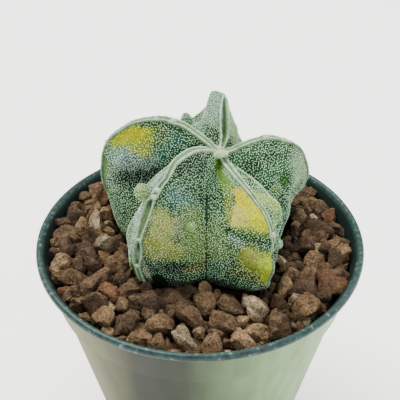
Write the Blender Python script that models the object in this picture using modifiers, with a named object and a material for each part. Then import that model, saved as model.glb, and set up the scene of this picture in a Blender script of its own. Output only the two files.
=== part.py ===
# A potted star cactus: a five-ribbed stem with felted crests, standing in coarse
# lava granules in a round tapered plastic pot.
# The origin is the middle of the pot's foot, +Z is up and the front is towards -Y.

import math
import random

import bmesh
import bpy
from mathutils import Vector

MM = 0.001

# Pot, in millimetres. Depths are measured down from the rim.
POT_HEIGHT = 60.0
RIM_RADIUS = 37.5
LIP_WIDTH = 1.5
LIP_DEPTH = 1.6
COLLAR_TOP_RADIUS = 36.1
COLLAR_FOOT_RADIUS = 34.1
COLLAR_DEPTH = 11.6
BODY_TOP_RADIUS = 33.1
FOOT_RADIUS = 23.2
WALL = 1.0
FLOOR_UNDERSIDE = 1.8
FLOOR_THICKNESS = 1.3
FOOT_RING_WIDTH = 2.3
DRAIN_RADIUS = 2.6
DRAIN_CIRCLE = 13.5
DRAIN_COUNT = 6
NOTCH_WIDTH = 4.0
POT_STEPS = 48

# Granules, in millimetres
FIT_GAP = 0.35
BED_DEPTH = 5.2
BED_STEPS = 48
GRANULE_SEED = 11
GRANULE_SIZES = (6.6, 3.3)
GRANULE_SIZE_STEPS = 9
GRANULE_TRIES = 1500
GRANULE_CLOSENESS = 0.74
GRANULE_RISE = (0.3, 1.5)
GRANULE_ROUGHNESS = 0.1

# Stem. Heights in the outlines are measured from the rim, in millimetres, and reaches
# from an upright line through the growing point.
GROWING_POINT = Vector((4.2, 5.0, POT_HEIGHT + 19.0))
# Each rib: its direction in degrees, and its crest's outline from the growing point to the soil.
CRESTS = (
    ("left", 165.0, ((3.3, 21.8), (8.0, 24.7), (13.1, 26.0), (18.5, 24.7),
                     (22.9, 21.7), (26.6, 17.9), (28.5, 11.0), (27.3, 4.2), (24.8, -3.0))),
    ("front_left", 226.0, ((3.9, 21.8), (10.0, 24.0), (15.2, 22.9), (19.4, 21.2),
                           (21.1, 17.4), (23.6, 12.4), (25.2, 6.9), (25.3, 2.2), (24.0, -3.0))),
    ("front_right", 297.0, ((2.8, 18.5), (7.4, 17.8), (12.6, 17.3), (17.6, 16.6),
                            (21.9, 15.3), (24.0, 11.5), (25.4, 6.4), (24.2, 2.0), (20.9, -3.0))),
    ("right", 380.0, ((3.8, 19.3), (7.8, 20.2), (11.8, 20.4), (15.5, 18.9),
                      (19.2, 16.6), (21.7, 13.2), (22.8, 8.0), (20.8, 3.2), (18.0, -3.0))),
    ("back", 448.0, ((3.4, 21.2), (7.6, 25.2), (11.4, 27.1), (15.4, 25.3),
                     (19.0, 21.3), (21.6, 16.0), (23.0, 9.5), (22.9, 3.5), (21.6, -3.0))),
)
# Each furrow follows the rib of the same row, on the way round to the next rib.
FURROWS = (
    (196.0, ((3.0, 18.3), (6.5, 17.6), (10.0, 16.3), (13.0, 14.4),
             (15.4, 12.0), (17.5, 9.2), (19.3, 5.8), (20.5, 1.8), (20.6, -3.0))),
    (260.5, ((2.6, 17.6), (5.4, 16.4), (8.2, 14.8), (10.8, 12.9),
             (13.0, 10.8), (14.9, 8.2), (16.5, 5.2), (17.5, 1.6), (17.8, -3.0))),
    (334.0, ((2.6, 17.6), (5.6, 16.6), (8.4, 15.2), (10.8, 13.4),
             (12.8, 11.2), (14.3, 8.5), (15.2, 5.3), (15.5, 1.6), (15.0, -3.0))),
    (413.0, ((2.6, 17.4), (5.4, 16.2), (8.2, 14.6), (10.8, 12.7),
             (13.0, 10.6), (14.8, 8.0), (16.0, 5.0), (16.6, 1.6), (16.2, -3.0))),
    (486.0, ((3.0, 19.3), (6.4, 20.2), (9.8, 20.2), (12.9, 18.9),
             (15.6, 16.1), (17.6, 12.2), (18.9, 7.7), (19.4, 2.8), (18.8, -3.0))),
)
# Below the soil every outline shrinks to the neck of the root.
HEEL_SHARE, HEEL_HEIGHT = 0.74, -9.0
NECK_REACH, NECK_HEIGHT = 6.5, -14.5
TAPROOT_REACH, TAPROOT_HEIGHT = 2.6, -22.0
TAPROOT_TIP = -27.0
AXIS_AT_FOOT = Vector((0.5, 4.9))

BODY_MIDDLE = Vector((3.0, 4.0, POT_HEIGHT + 3.0))
STEPS_PER_FLANK = 8
RINGS_ABOVE_SOIL = 23
RINGS_BELOW_SOIL = 6
CREST_ROUNDING = 0.75
CREST_HALF_WIDTH = 1.3
FLANK_BULGE = 1.1
FURROW_CUT = 0.5
FURROW_HALF_WIDTH = 1.0

# Swellings (+) and dimples (-) of the flanks: centre, height and radius in millimetres
LUMPS = (
    ("front right cheek", (9.5, -12.6, 9.5), 1.0, 5.2),
    ("front right heel", (11.3, -14.8, -0.6), 1.9, 3.6),
    ("front right crease", (8.8, -14.6, 3.9), -0.9, 2.6),
    ("front left cheek", (-6.3, -11.8, 7.5), 0.9, 4.6),
    ("front left dimple", (-3.0, -9.8, 8.2), -0.7, 1.6),
    ("front left shoulder", (-11.2, -7.4, 18.0), 1.7, 2.2),
    ("right shoulder", (14.8, -8.8, 11.2), 2.2, 3.2),
    ("right pit", (19.0, 0.6, 12.6), -1.2, 2.2),
    ("right ledge", (17.2, -2.4, 11.2), 1.0, 2.2),
    ("left ledge", (-18.0, 4.5, 15.0), 1.2, 3.8),
    ("left hollow", (-15.0, 1.5, 11.0), -1.2, 3.0),
    ("left heel", (-16.4, -5.0, 6.0), 1.5, 3.6),
    ("back left swelling", (-2.9, 16.2, 19.6), 2.6, 2.8),
    ("back left saddle", (1.0, 16.4, 22.6), -1.4, 2.6),
    ("back right hollow", (9.6, 17.4, 17.0), -2.2, 4.2),
    ("back right dip", (8.0, 13.4, 21.4), -0.9, 2.6),
    ("back face swelling", (-3.0, 23.5, 8.0), 1.2, 4.0),
    ("back right heel", (16.0, 17.0, 4.5), 1.2, 4.0),
)

# Round knobs grown out of the flanks: centre and radius in millimetres, heights from the rim
KNOBS = (
    ("back left knob", (-2.9, 16.4, 21.4), 1.75),
    ("front right bud", (16.6, -14.2, 9.9), 1.0),
)
KNOB_SEGMENTS, KNOB_RINGS = 14, 8

# Felt of the crests: two lines that part round bare lens-shaped strips, between woolly tufts.
# Places along a crest are distances from the growing point, in millimetres.
FELT_RINGS = 26
FELT_END = 0.35
FELT_LINE = 0.5
FELT_EDGE = 1.0
FELT_HEIGHT = 0.55
GROOVE_HALF_WIDTH = 0.12
GROOVE_HEIGHT = 0.2
CROWN_RINGS = 3
CROWN_REACH = 0.75
CROWN_HEIGHT = 0.7
TUFT_HEIGHT = 0.4
TUFT_LENGTH = 0.95
LENS_LEAST = 0.3
# Each rib: its tufts as (place, size), and its bare strips as (start, end, half width)
FELT_MARKS = (
    (((14.6, 0.9), (30.0, 0.8), (40.5, 1.0)), ((30.8, 39.4, 0.9),)),
    (((19.2, 1.5), (33.8, 0.9), (40.5, 0.7)), ((20.4, 33.0, 0.85), (34.6, 40.0, 0.6))),
    (((12.5, 0.6), (33.2, 1.3)), ((24.0, 32.0, 0.4), (34.6, 40.0, 0.4))),
    (((11.8, 1.3), (19.0, 1.0), (34.0, 0.9)), ((20.0, 33.0, 0.7),)),
    (((13.4, 0.4), (31.5, 0.9)), ((5.5, 12.5, 0.35), (14.5, 30.5, 0.6))),
)


def clear_scene():
    for obj in list(bpy.data.objects):
        bpy.data.objects.remove(obj)


def new_collection(name, hidden=False):
    collection = bpy.data.collections.new(name)
    bpy.context.scene.collection.children.link(collection)
    collection.hide_render = hidden
    return collection


def new_material(name, colour, roughness):
    material = bpy.data.materials.new(name)
    material.use_nodes = True
    shader = material.node_tree.nodes["Principled BSDF"]
    shader.inputs["Base Color"].default_value = (*colour, 1.0)
    shader.inputs["Roughness"].default_value = roughness
    shader.inputs["Metallic"].default_value = 0.0
    return material


def object_from(mesh_maker, name, collection, material=None):
    """An object whose mesh is filled in by mesh_maker, at the origin."""
    bm = bmesh.new()
    mesh_maker(bm)
    mesh = bpy.data.meshes.new(name)
    bm.to_mesh(mesh)
    bm.free()
    obj = bpy.data.objects.new(name, mesh)
    collection.objects.link(obj)
    if material:
        mesh.materials.append(material)
    return obj


def as_helper(obj):
    obj.hide_render = True
    obj.display_type = "WIRE"
    return obj


def shade_round(obj, sharp_from):
    obj.data.shade_smooth()
    obj.data.set_sharp_from_angle(angle=math.radians(sharp_from))


def add_boolean(obj, other, operation, solver="EXACT"):
    modifier = obj.modifiers.new(operation.title(), "BOOLEAN")
    modifier.operation = operation
    modifier.solver = solver
    if isinstance(other, bpy.types.Collection):
        modifier.operand_type = "COLLECTION"
        modifier.collection = other
    else:
        modifier.object = other
    return modifier


def apply_modifiers(obj):
    """The object's mesh becomes what its modifiers make of it."""
    graph = bpy.context.evaluated_depsgraph_get()
    mesh = bpy.data.meshes.new_from_object(obj.evaluated_get(graph))
    obj.modifiers.clear()
    obj.data = mesh


def keep_largest_body(obj):
    """Drops the crumbs that a cut leaves loose."""
    bm = bmesh.new()
    bm.from_mesh(obj.data)
    unseen, bodies = set(bm.verts), []
    while unseen:
        edge_of_body = [unseen.pop()]
        body = list(edge_of_body)
        while edge_of_body:
            near = {edge.other_vert(v) for v in edge_of_body for edge in v.link_edges}
            edge_of_body = list(near & unseen)
            unseen -= near
            body += edge_of_body
        bodies.append(body)
    largest = max(bodies, key=len)
    for body in bodies:
        if body is not largest:
            bmesh.ops.delete(bm, geom=body, context="VERTS")
    bm.to_mesh(obj.data)
    bm.free()


def remove_collection(collection):
    for obj in list(collection.objects):
        bpy.data.objects.remove(obj)
    bpy.data.collections.remove(collection)


def turned(points, steps, name, collection, material=None):
    """A solid turned round Z from an outline that starts and ends on the axis."""

    def outline(bm):
        verts = [bm.verts.new((r * MM, 0.0, z * MM)) for r, z in points]
        for a, b in zip(verts, verts[1:]):
            bm.edges.new((a, b))

    obj = object_from(outline, name, collection, material)
    screw = obj.modifiers.new("Turn", "SCREW")
    screw.axis = "Z"
    screw.angle = math.tau
    screw.steps = screw.render_steps = steps
    screw.use_merge_vertices = True
    screw.merge_threshold = 1e-5
    screw.use_smooth_shade = True
    return obj


# The pot

def pot_outline():
    """From the middle of the floor, up the inside, over the lip, down the outside to the foot."""
    collar_foot = POT_HEIGHT - COLLAR_DEPTH
    floor_top = FLOOR_UNDERSIDE + FLOOR_THICKNESS
    return (
        (0.0, floor_top),
        (FOOT_RADIUS - 2.4, floor_top),
        (FOOT_RADIUS - WALL + 0.2, floor_top + 1.4),
        (BODY_TOP_RADIUS - WALL, collar_foot - 1.0),
        (COLLAR_FOOT_RADIUS - WALL, collar_foot + 0.4),
        (COLLAR_TOP_RADIUS - WALL, POT_HEIGHT - LIP_DEPTH),
        (RIM_RADIUS - LIP_WIDTH, POT_HEIGHT - 0.5),
        (RIM_RADIUS - LIP_WIDTH + 0.35, POT_HEIGHT),
        (RIM_RADIUS - 0.4, POT_HEIGHT),
        (RIM_RADIUS, POT_HEIGHT - 0.4),
        (RIM_RADIUS, POT_HEIGHT - LIP_DEPTH + 0.3),
        (RIM_RADIUS - 0.3, POT_HEIGHT - LIP_DEPTH),
        (COLLAR_TOP_RADIUS, POT_HEIGHT - LIP_DEPTH - 0.2),
        (COLLAR_FOOT_RADIUS, collar_foot + 0.3),
        (COLLAR_FOOT_RADIUS - 0.3, collar_foot),
        (BODY_TOP_RADIUS, collar_foot - 0.5),
        (FOOT_RADIUS + 0.25, 0.8),
        (FOOT_RADIUS - 0.35, 0.0),
        (FOOT_RADIUS - FOOT_RING_WIDTH, 0.0),
        (FOOT_RADIUS - FOOT_RING_WIDTH - 0.3, FLOOR_UNDERSIDE),
        (0.0, FLOOR_UNDERSIDE),
    )


def drain_cutters(cutters):
    """Upright pegs for the holes in the floor, and bars for the notches in the foot ring."""

    def pegs(bm):
        places = [Vector((0.0, 0.0, 0.0))]
        for k in range(DRAIN_COUNT):
            turn = math.tau * k / DRAIN_COUNT
            places.append(Vector((math.cos(turn), math.sin(turn), 0.0)) * DRAIN_CIRCLE * MM)
        for place in places:
            made = bmesh.ops.create_cone(
                bm, cap_ends=True, segments=12, radius1=DRAIN_RADIUS * MM,
                radius2=DRAIN_RADIUS * MM, depth=3 * FLOOR_THICKNESS * MM)
            lift = Vector((0.0, 0.0, (FLOOR_UNDERSIDE + FLOOR_THICKNESS / 2) * MM))
            bmesh.ops.translate(bm, verts=made["verts"], vec=place + lift)

    def bars(bm):
        for k in range(DRAIN_COUNT):
            turn = math.tau * (k + 0.5) / DRAIN_COUNT
            out = Vector((math.cos(turn), math.sin(turn), 0.0))
            made = bmesh.ops.create_cube(bm, size=1.0)
            bmesh.ops.scale(bm, verts=made["verts"],
                            vec=(3 * FOOT_RING_WIDTH * MM, NOTCH_WIDTH * MM, 2.4 * MM))
            spin = out.to_track_quat("X", "Z").to_matrix()
            bmesh.ops.rotate(bm, verts=made["verts"], matrix=spin)
            bmesh.ops.translate(bm, verts=made["verts"], vec=out * (FOOT_RADIUS - 1.2) * MM)

    holes = as_helper(object_from(pegs, "drain_hole_cutter", cutters))
    notches = as_helper(object_from(bars, "foot_notch_cutter", cutters))
    return holes, notches


def build_pot(parts, cutters):
    plastic = new_material("petrol_green_plastic", (0.13, 0.20, 0.18), 0.42)
    pot = turned(pot_outline(), POT_STEPS, "pot", parts, plastic)
    for cutter in drain_cutters(cutters):
        add_boolean(pot, cutter, "DIFFERENCE")
    return pot


def wall_inside(height):
    """The pot's inner radius at a height above its foot."""
    inner = pot_outline()[2:7]
    for (r0, z0), (r1, z1) in zip(inner, inner[1:]):
        if height <= z1:
            return r0 + (r1 - r0) * (height - z0) / (z1 - z0)
    return inner[-1][0]


# The stem's surface, as a formula

def below_soil(outline):
    """The buried end of an outline, from the heel to the tip of the root."""
    return (
        (outline[-1][0] * HEEL_SHARE, HEEL_HEIGHT),
        (NECK_REACH, NECK_HEIGHT),
        (TAPROOT_REACH, TAPROOT_HEIGHT),
        (0.0, TAPROOT_TIP),
    )


def whole_outline(outline):
    top = (0.0, GROWING_POINT.z - POT_HEIGHT)
    return (top, *outline, *below_soil(outline))


CREST_LINES = [whole_outline(points) for _, _, points in CRESTS]
FURROW_LINES = [whole_outline(points) for _, points in FURROWS]
CREST_TURNS = [math.radians(turn) for _, turn, _ in CRESTS]
FURROW_TURNS = [math.radians(turn) for turn, _ in FURROWS]
STATIONS = len(CREST_LINES[0]) - 1
SOIL_STATION = len(CRESTS[0][2])


def along(line, station):
    """A point on a smooth line through the outline's points (Catmull-Rom)."""
    k = min(int(station), STATIONS - 1)
    t = station - k
    p1, p2 = line[k], line[k + 1]
    p0 = line[k - 1] if k > 0 else (-p2[0], p2[1])
    p3 = line[k + 2] if k + 2 <= STATIONS else (-p1[0], p1[1])
    return [
        0.5 * (2 * b + (c - a) * t + (2 * a - 5 * b + 4 * c - d) * t * t
               + (3 * b - a - 3 * c + d) * t ** 3)
        for a, b, c, d in zip(p0, p1, p2, p3)
    ]


def in_space(line, turn, station):
    """The outline's point in space. The buried neck is drawn to the middle of the foot."""
    reach, height = along(line, station)
    sunk = min(max((station - SOIL_STATION) / 2.0, 0.0), 1.0)
    middle = GROWING_POINT.xy.lerp(AXIS_AT_FOOT, sunk)
    return Vector((middle.x + reach * math.cos(turn),
                   middle.y + reach * math.sin(turn), POT_HEIGHT + height))


def flank(round_place, station):
    """(crest point, furrow point, share of the way from the crest to the furrow)."""
    rib = math.floor(round_place + 0.5)
    share = 2.0 * (round_place - rib)
    ribs = len(CRESTS)
    crest = in_space(CREST_LINES[rib % ribs], CREST_TURNS[rib % ribs], station)
    side = rib % ribs if share >= 0 else (rib - 1) % ribs
    furrow = in_space(FURROW_LINES[side], FURROW_TURNS[side], station)
    return crest, furrow, abs(share)


def base_point(round_place, station):
    """The plain star, with its crests rounded and its flanks straight in plan."""
    crest, furrow, share = flank(round_place, station)
    point = crest.lerp(furrow, share)
    from_crest = (point - crest).length
    inward = (furrow.xy - crest.xy).length
    if inward > 1e-6:
        middle = Vector((*GROWING_POINT.xy, crest.z - 6.0))
        towards = (middle - crest).normalized()
        depth = CREST_ROUNDING * math.exp(-(from_crest / CREST_HALF_WIDTH) ** 2)
        point += towards * depth * min(1.0, inward / 5.0)
    return point


def relief(round_place, station):
    """How far the surface stands out from the plain star: the flank's bulge, less the furrow."""
    crest, furrow, share = flank(round_place, station)
    spread = (furrow - crest).length
    showing = min(1.0, spread / 9.0) * min(1.0, max(0.0, SOIL_STATION + 2.0 - station))
    out = FLANK_BULGE * math.sin(math.pi * share ** 0.8) * showing
    to_furrow = (1.0 - share) * spread
    return out - FURROW_CUT * math.exp(-(to_furrow / FURROW_HALF_WIDTH) ** 2) * showing


def with_lumps(point):
    """The point moved away from the middle of the body by the lumps near it."""
    outward = (point - BODY_MIDDLE).normalized()
    out = 0.0
    for _, centre, height, radius in LUMPS:
        away = (point - Vector(centre) - Vector((0.0, 0.0, POT_HEIGHT))).length / radius
        if away < 2.6:
            out += height * math.exp(-away * away)
    return point + outward * out


def normal_at(surface, round_place, station, reach=0.3):
    """The outward normal of surface(round place, station), over a reach in millimetres."""
    crest, furrow, _ = flank(round_place, station)
    step = min(0.1, 0.5 * reach / max((furrow - crest).length, 0.1))
    across = surface(round_place + step, station) - surface(round_place - step, station)
    down = surface(round_place, min(station + 0.04, STATIONS)) - surface(
        round_place, max(station - 0.04, 0.0))
    return down.cross(across).normalized()


def skin_point(round_place, station):
    """A point of the stem's surface, in millimetres."""
    point = base_point(round_place, station)
    if 1e-6 < station < STATIONS - 1e-6:
        point += normal_at(base_point, round_place, station) * relief(round_place, station)
    return with_lumps(point)


def stem_point(round_place, station, lift=0.0):
    """A point of the stem's surface, raised along its normal by lift."""
    point = skin_point(round_place, station)
    if lift == 0.0:
        return point
    if station < 1e-6 or station > STATIONS - 1e-6:
        return point + Vector((0.0, 0.0, lift if station < 1.0 else -lift))
    return point + normal_at(skin_point, round_place, station, 0.8) * lift


def ring_stations(above, below):
    """The stations of the rings of a sphere's points, from pole to pole."""
    upper = [SOIL_STATION * k / above for k in range(above)]
    lower = [SOIL_STATION + (STATIONS - SOIL_STATION) * k / below for k in range(below + 1)]
    return upper + lower


def shape_as_stem(bm, steps_per_flank, above, below, lift=0.0):
    """A UV sphere whose points are moved onto the stem's surface."""
    ribs = len(CRESTS)
    around = 2 * ribs * steps_per_flank
    stations = ring_stations(above, below)
    bmesh.ops.create_uvsphere(bm, u_segments=around, v_segments=len(stations) - 1, radius=1.0)
    for vert in bm.verts:
        ring = round(math.acos(max(-1.0, min(1.0, vert.co.z))) / math.pi * (len(stations) - 1))
        step = round(math.atan2(vert.co.y, vert.co.x) / math.tau * around) % around
        rib, place = divmod(step + steps_per_flank, 2 * steps_per_flank)
        side = (place - steps_per_flank) / steps_per_flank
        round_place = rib + 0.5 * math.copysign(abs(side) ** 1.35, side)
        vert.co = stem_point(round_place, stations[ring], lift) * MM


def knob(name, centre, radius, collection):
    """A ball that is fused to a flank."""

    def ball(bm):
        bmesh.ops.create_uvsphere(bm, u_segments=KNOB_SEGMENTS, v_segments=KNOB_RINGS,
                                  radius=radius * MM)
        bmesh.ops.translate(bm, verts=bm.verts, vec=centre * MM)

    return object_from(ball, name, collection)


def build_stem(parts):
    skin = new_material("flecked_green_skin", (0.16, 0.27, 0.17), 0.6)

    def shape(bm):
        shape_as_stem(bm, STEPS_PER_FLANK, RINGS_ABOVE_SOIL, RINGS_BELOW_SOIL)

    stem = object_from(shape, "stem", parts, skin)
    knobs = new_collection("knobs")
    for name, centre, radius in KNOBS:
        knob(name, Vector(centre) + Vector((0.0, 0.0, POT_HEIGHT)), radius, knobs)
    add_boolean(stem, knobs, "UNION", "MANIFOLD")
    apply_modifiers(stem)
    remove_collection(knobs)
    shade_round(stem, 60.0)
    return stem


# The felt of the crests

def crest_distances(rib):
    """(station, distance along the crest from the growing point) from the crown to the soil."""
    steps, total, table = 120, 0.0, [(0.0, 0.0)]
    last = in_space(CREST_LINES[rib], CREST_TURNS[rib], 0.0)
    for k in range(1, steps + 1):
        station = (SOIL_STATION - FELT_END) * k / steps
        here = in_space(CREST_LINES[rib], CREST_TURNS[rib], station)
        total += (here - last).length
        table.append((station, total))
        last = here
    return table


def felt_rings(rib):
    """Stations and distances of a rib's rings, closer together at its tufts."""
    table = crest_distances(rib)
    weights = [0.0]
    for (_, d0), (_, d1) in zip(table, table[1:]):
        middle = (d0 + d1) / 2.0
        places = [0.0] + [place for place, _ in FELT_MARKS[rib][0]]
        close = sum(math.exp(-((middle - place) / 1.5) ** 2) for place in places)
        weights.append(weights[-1] + (d1 - d0) * (1.0 + 2.5 * min(close, 1.0)))
    rings, k = [], 0
    for ring in range(FELT_RINGS):
        wanted = weights[-1] * ring / (FELT_RINGS - 1)
        while k < len(weights) - 2 and weights[k + 1] < wanted:
            k += 1
        share = (wanted - weights[k]) / (weights[k + 1] - weights[k])
        rings.append([a + (b - a) * share for a, b in zip(table[k], table[k + 1])])
    return rings


def lens_opening(rib, distance):
    """Half the width of the bare strip between a crest's two felt lines."""
    for start, end, half_width in FELT_MARKS[rib][1]:
        if start < distance < end:
            return half_width * math.sin(math.pi * (distance - start) / (end - start)) ** 0.8
    return 0.0


def felt_section(rib, distance):
    """(offset from the crest, height) of the six points of a felt strip's cross-section."""
    tuft = sum(size * math.exp(-((distance - place) / TUFT_LENGTH) ** 2)
               for place, size in FELT_MARKS[rib][0])
    opening = lens_opening(rib, distance)
    half = ((GROOVE_HALF_WIDTH, GROOVE_HEIGHT + TUFT_HEIGHT * tuft),
            (FELT_LINE, FELT_HEIGHT + TUFT_HEIGHT * tuft),
            (FELT_EDGE + 0.35 * tuft, 0.12 + 0.2 * tuft))
    half = [(offset + opening + 0.15 * tuft, height) for offset, height in half]
    return [(-offset, height) for offset, height in reversed(half)] + half


def felt_layout():
    """Round place, station, distance and height for each ring and column of the felt."""
    layout = []
    for rib in range(len(CRESTS)):
        rings = felt_rings(rib)
        for ring, (station, distance) in enumerate(rings):
            crown = max(0.0, 1.0 - ring / CROWN_RINGS)
            for column, (offset, height) in enumerate(felt_section(rib, distance)):
                crest, furrow, _ = flank(rib + 0.01 * math.copysign(1.0, offset), station)
                share = min(abs(offset) / max((furrow - crest).length, 0.01),
                            CROWN_REACH * abs(offset) / FELT_EDGE)
                place = rib + 0.5 * math.copysign(share, offset)
                if ring < CROWN_RINGS:
                    height = max(height, FELT_HEIGHT) + (CROWN_HEIGHT - FELT_HEIGHT) * crown
                layout.append((rib * 6 + column, ring, place, station, height))
    return layout


def felt_sheet(bm):
    """The underside of the felt, cut from a UV sphere moved onto the stem, then made solid."""
    around = 6 * len(CRESTS)
    places = {(column, ring): rest for column, ring, *rest in felt_layout()}
    bmesh.ops.create_uvsphere(bm, u_segments=around, v_segments=FELT_RINGS, radius=1.0)
    seats = {}
    for vert in bm.verts:
        ring = round(math.acos(max(-1.0, min(1.0, vert.co.z))) / math.pi * FELT_RINGS)
        column = math.floor(math.atan2(vert.co.y, vert.co.x) / math.tau * around + 0.01) % around
        seats[vert] = (0 if ring == 0 else column, ring)
    spare = [face for face in bm.faces if not felted(face, seats)]
    bmesh.ops.delete(bm, geom=spare, context="FACES")
    seats = {vert: seat for vert, seat in seats.items() if vert.is_valid}
    raise_felt(bm, seats, places)


def felted(face, seats):
    """Whether a face of the sheet carries felt: the crown, and the strips outside the lenses."""
    rings = [seats[vert][1] for vert in face.verts]
    if max(rings) > FELT_RINGS - 1:
        return False
    if max(rings) <= CROWN_RINGS - 1:
        return True
    columns = {seats[vert][0] % 6 for vert in face.verts}
    if columns == {0, 5}:
        return False
    if columns == {2, 3}:
        rib = seats[face.verts[0]][0] // 6
        table = felt_rings(rib)
        return min(lens_opening(rib, table[ring][1]) for ring in rings) < LENS_LEAST
    return True


def raise_felt(bm, seats, places):
    """Places the sheet one gap above the stem and raises a copy of it to the felt's height."""
    made = bmesh.ops.extrude_face_region(bm, geom=list(bm.faces))
    raised = [item for item in made["geom"] if isinstance(item, bmesh.types.BMVert)]
    nearest = {tuple(round(c, 6) for c in vert.co): seat for vert, seat in seats.items()}
    tops = {vert: nearest[tuple(round(c, 6) for c in vert.co)] for vert in raised}
    for lift_share, group in ((0.0, seats), (1.0, tops)):
        for vert, seat in group.items():
            place, station, height = places[seat]
            if seat[1] < CROWN_RINGS:
                lift = FIT_GAP + 0.15 + lift_share * height
                point = skin_point(place, station) + Vector((0.0, 0.0, lift))
            else:
                point = stem_point(place, station, FIT_GAP + lift_share * height)
            vert.co = point * MM
    bmesh.ops.recalc_face_normals(bm, faces=bm.faces)


def build_felt(parts):
    wool = new_material("cream_wool", (0.62, 0.64, 0.55), 0.95)
    felt = object_from(felt_sheet, "crest_felt", parts, wool)
    shade_round(felt, 60.0)
    return felt


# The granules

def soil_outline(extra):
    """The stem's outline where it enters the granules, in plan, moved out by extra."""
    count = 2 * len(CRESTS) * 4
    return [stem_point(len(CRESTS) * k / count, SOIL_STATION - 0.3, extra).xy
            for k in range(count)]


def outside_stem(place, outline):
    """True where place lies outside the closed outline."""
    inside = False
    for a, b in zip(outline, outline[1:] + outline[:1]):
        if (a.y > place.y) != (b.y > place.y):
            if place.x < a.x + (b.x - a.x) * (place.y - a.y) / (b.y - a.y):
                inside = not inside
    return not inside


def granule_places(draw):
    """(place, size) of each granule: darts are thrown for large stones first, then for smaller."""
    bed_top = POT_HEIGHT - BED_DEPTH
    outline = soil_outline(0.5)
    large, small = GRANULE_SIZES
    placed = []
    for step in range(GRANULE_SIZE_STEPS):
        size = large + (small - large) * step / (GRANULE_SIZE_STEPS - 1)
        for _ in range(GRANULE_TRIES):
            radius = (wall_inside(bed_top) - 0.3 - 0.5 * size) * math.sqrt(draw.random())
            turn = math.tau * draw.random()
            height = bed_top + draw.uniform(*GRANULE_RISE)
            place = Vector((radius * math.cos(turn), radius * math.sin(turn), height))
            near = any((place.xy - other.xy).length < GRANULE_CLOSENESS * (size + width) / 2.0
                       for other, width in placed)
            if not near and outside_stem(place.xy, outline):
                placed.append((place, size))
    return placed


def granule(name, place, size, draw, collection):
    """A broken lava stone: the hull of a cube's edge middles, moved a little, squashed and turned."""

    def stone(bm):
        for x, y in ((-1, -1), (-1, 1), (1, -1), (1, 1)):
            for corner in ((x, y, 0), (x, 0, y), (0, x, y)):
                jitter = [c * 0.71 + draw.uniform(-GRANULE_ROUGHNESS, GRANULE_ROUGHNESS)
                          for c in corner]
                bm.verts.new(Vector(jitter) * size / 2.0 * MM)
        hull = bmesh.ops.convex_hull(bm, input=bm.verts)
        unused = [item for item in hull["geom_interior"] if isinstance(item, bmesh.types.BMVert)]
        bmesh.ops.delete(bm, geom=unused, context="VERTS")
        squash = (1.05, draw.uniform(0.8, 1.0), draw.uniform(0.7, 0.95))
        bmesh.ops.scale(bm, verts=bm.verts, vec=squash)
        axis = Vector([draw.gauss(0.0, 1.0) for _ in range(3)])
        bmesh.ops.rotate(bm, verts=bm.verts, matrix=axis.to_track_quat("Z", "Y").to_matrix())
        bmesh.ops.translate(bm, verts=bm.verts, vec=place * MM)

    return object_from(stone, name, collection)


def build_granules(parts, cutters):
    """The bed that fills the pot, with the top stones fused on and a hole for the stem."""
    lava = new_material("lava_granules", (0.17, 0.10, 0.065), 0.95)
    top = POT_HEIGHT - BED_DEPTH
    floor = FLOOR_UNDERSIDE + FLOOR_THICKNESS + FIT_GAP
    outline = [(0.0, top), (wall_inside(top) - FIT_GAP, top)]
    for r, z in reversed(pot_outline()[1:5]):
        outline.append((r - FIT_GAP, max(z, floor)))
    outline.append((0.0, floor))
    bed = turned(outline, BED_STEPS, "lava_granules", parts, lava)
    apply_modifiers(bed)
    stones = new_collection("stones")
    draw = random.Random(GRANULE_SEED)
    for number, (place, size) in enumerate(granule_places(draw)):
        granule(f"stone_{number}", place, size, draw, stones)
    add_boolean(bed, stones, "UNION", "MANIFOLD")
    apply_modifiers(bed)
    remove_collection(stones)

    def hole(bm):
        shape_as_stem(bm, STEPS_PER_FLANK // 2, RINGS_ABOVE_SOIL, RINGS_BELOW_SOIL, FIT_GAP + 0.15)

    stem_hole = as_helper(object_from(hole, "stem_hole_cutter", cutters))
    add_boolean(bed, stem_hole, "DIFFERENCE", "MANIFOLD")
    apply_modifiers(bed)
    keep_largest_body(bed)
    return bed


def main():
    clear_scene()
    parts = new_collection("potted_star_cactus")
    cutters = new_collection("cutters", hidden=True)
    build_pot(parts, cutters)
    build_granules(parts, cutters)
    build_stem(parts)
    build_felt(parts)


main()
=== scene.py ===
# %% [markdown]
# # A potted star cactus
#
# A star cactus is a low, five-ribbed plant. Its dark green skin is covered with thousands of tiny
# woolly flecks, bare golden patches show where the skin has no green, and a felted line runs down
# the crest of every rib. It stands in coarse, broken lava in a moulded plastic nursery pot.
#
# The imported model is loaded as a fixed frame. It gives every place in metres, with the middle of
# the pot's foot at the origin, +Z up and the front towards -Y. Each piece below is a finer one
# that takes the place of one of its nodes.

# %% Load the frame
import math
import random

import bpy
import numpy as np
from mathutils import Matrix, Vector, noise
from mathutils.bvhtree import BVHTree


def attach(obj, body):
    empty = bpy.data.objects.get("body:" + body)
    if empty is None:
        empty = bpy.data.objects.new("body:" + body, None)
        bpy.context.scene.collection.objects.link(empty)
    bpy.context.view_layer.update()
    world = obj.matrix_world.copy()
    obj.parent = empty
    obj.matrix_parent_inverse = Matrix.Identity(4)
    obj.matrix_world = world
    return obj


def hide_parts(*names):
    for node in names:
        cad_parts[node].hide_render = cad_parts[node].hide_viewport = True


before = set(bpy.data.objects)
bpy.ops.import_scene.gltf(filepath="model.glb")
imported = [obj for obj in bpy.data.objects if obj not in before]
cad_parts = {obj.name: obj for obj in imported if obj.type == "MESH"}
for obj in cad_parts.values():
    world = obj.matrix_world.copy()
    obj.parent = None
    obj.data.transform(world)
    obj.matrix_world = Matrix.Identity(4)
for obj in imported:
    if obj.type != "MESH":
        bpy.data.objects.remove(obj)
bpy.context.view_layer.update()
bpy.ops.object.select_all(action="DESELECT")

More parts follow.
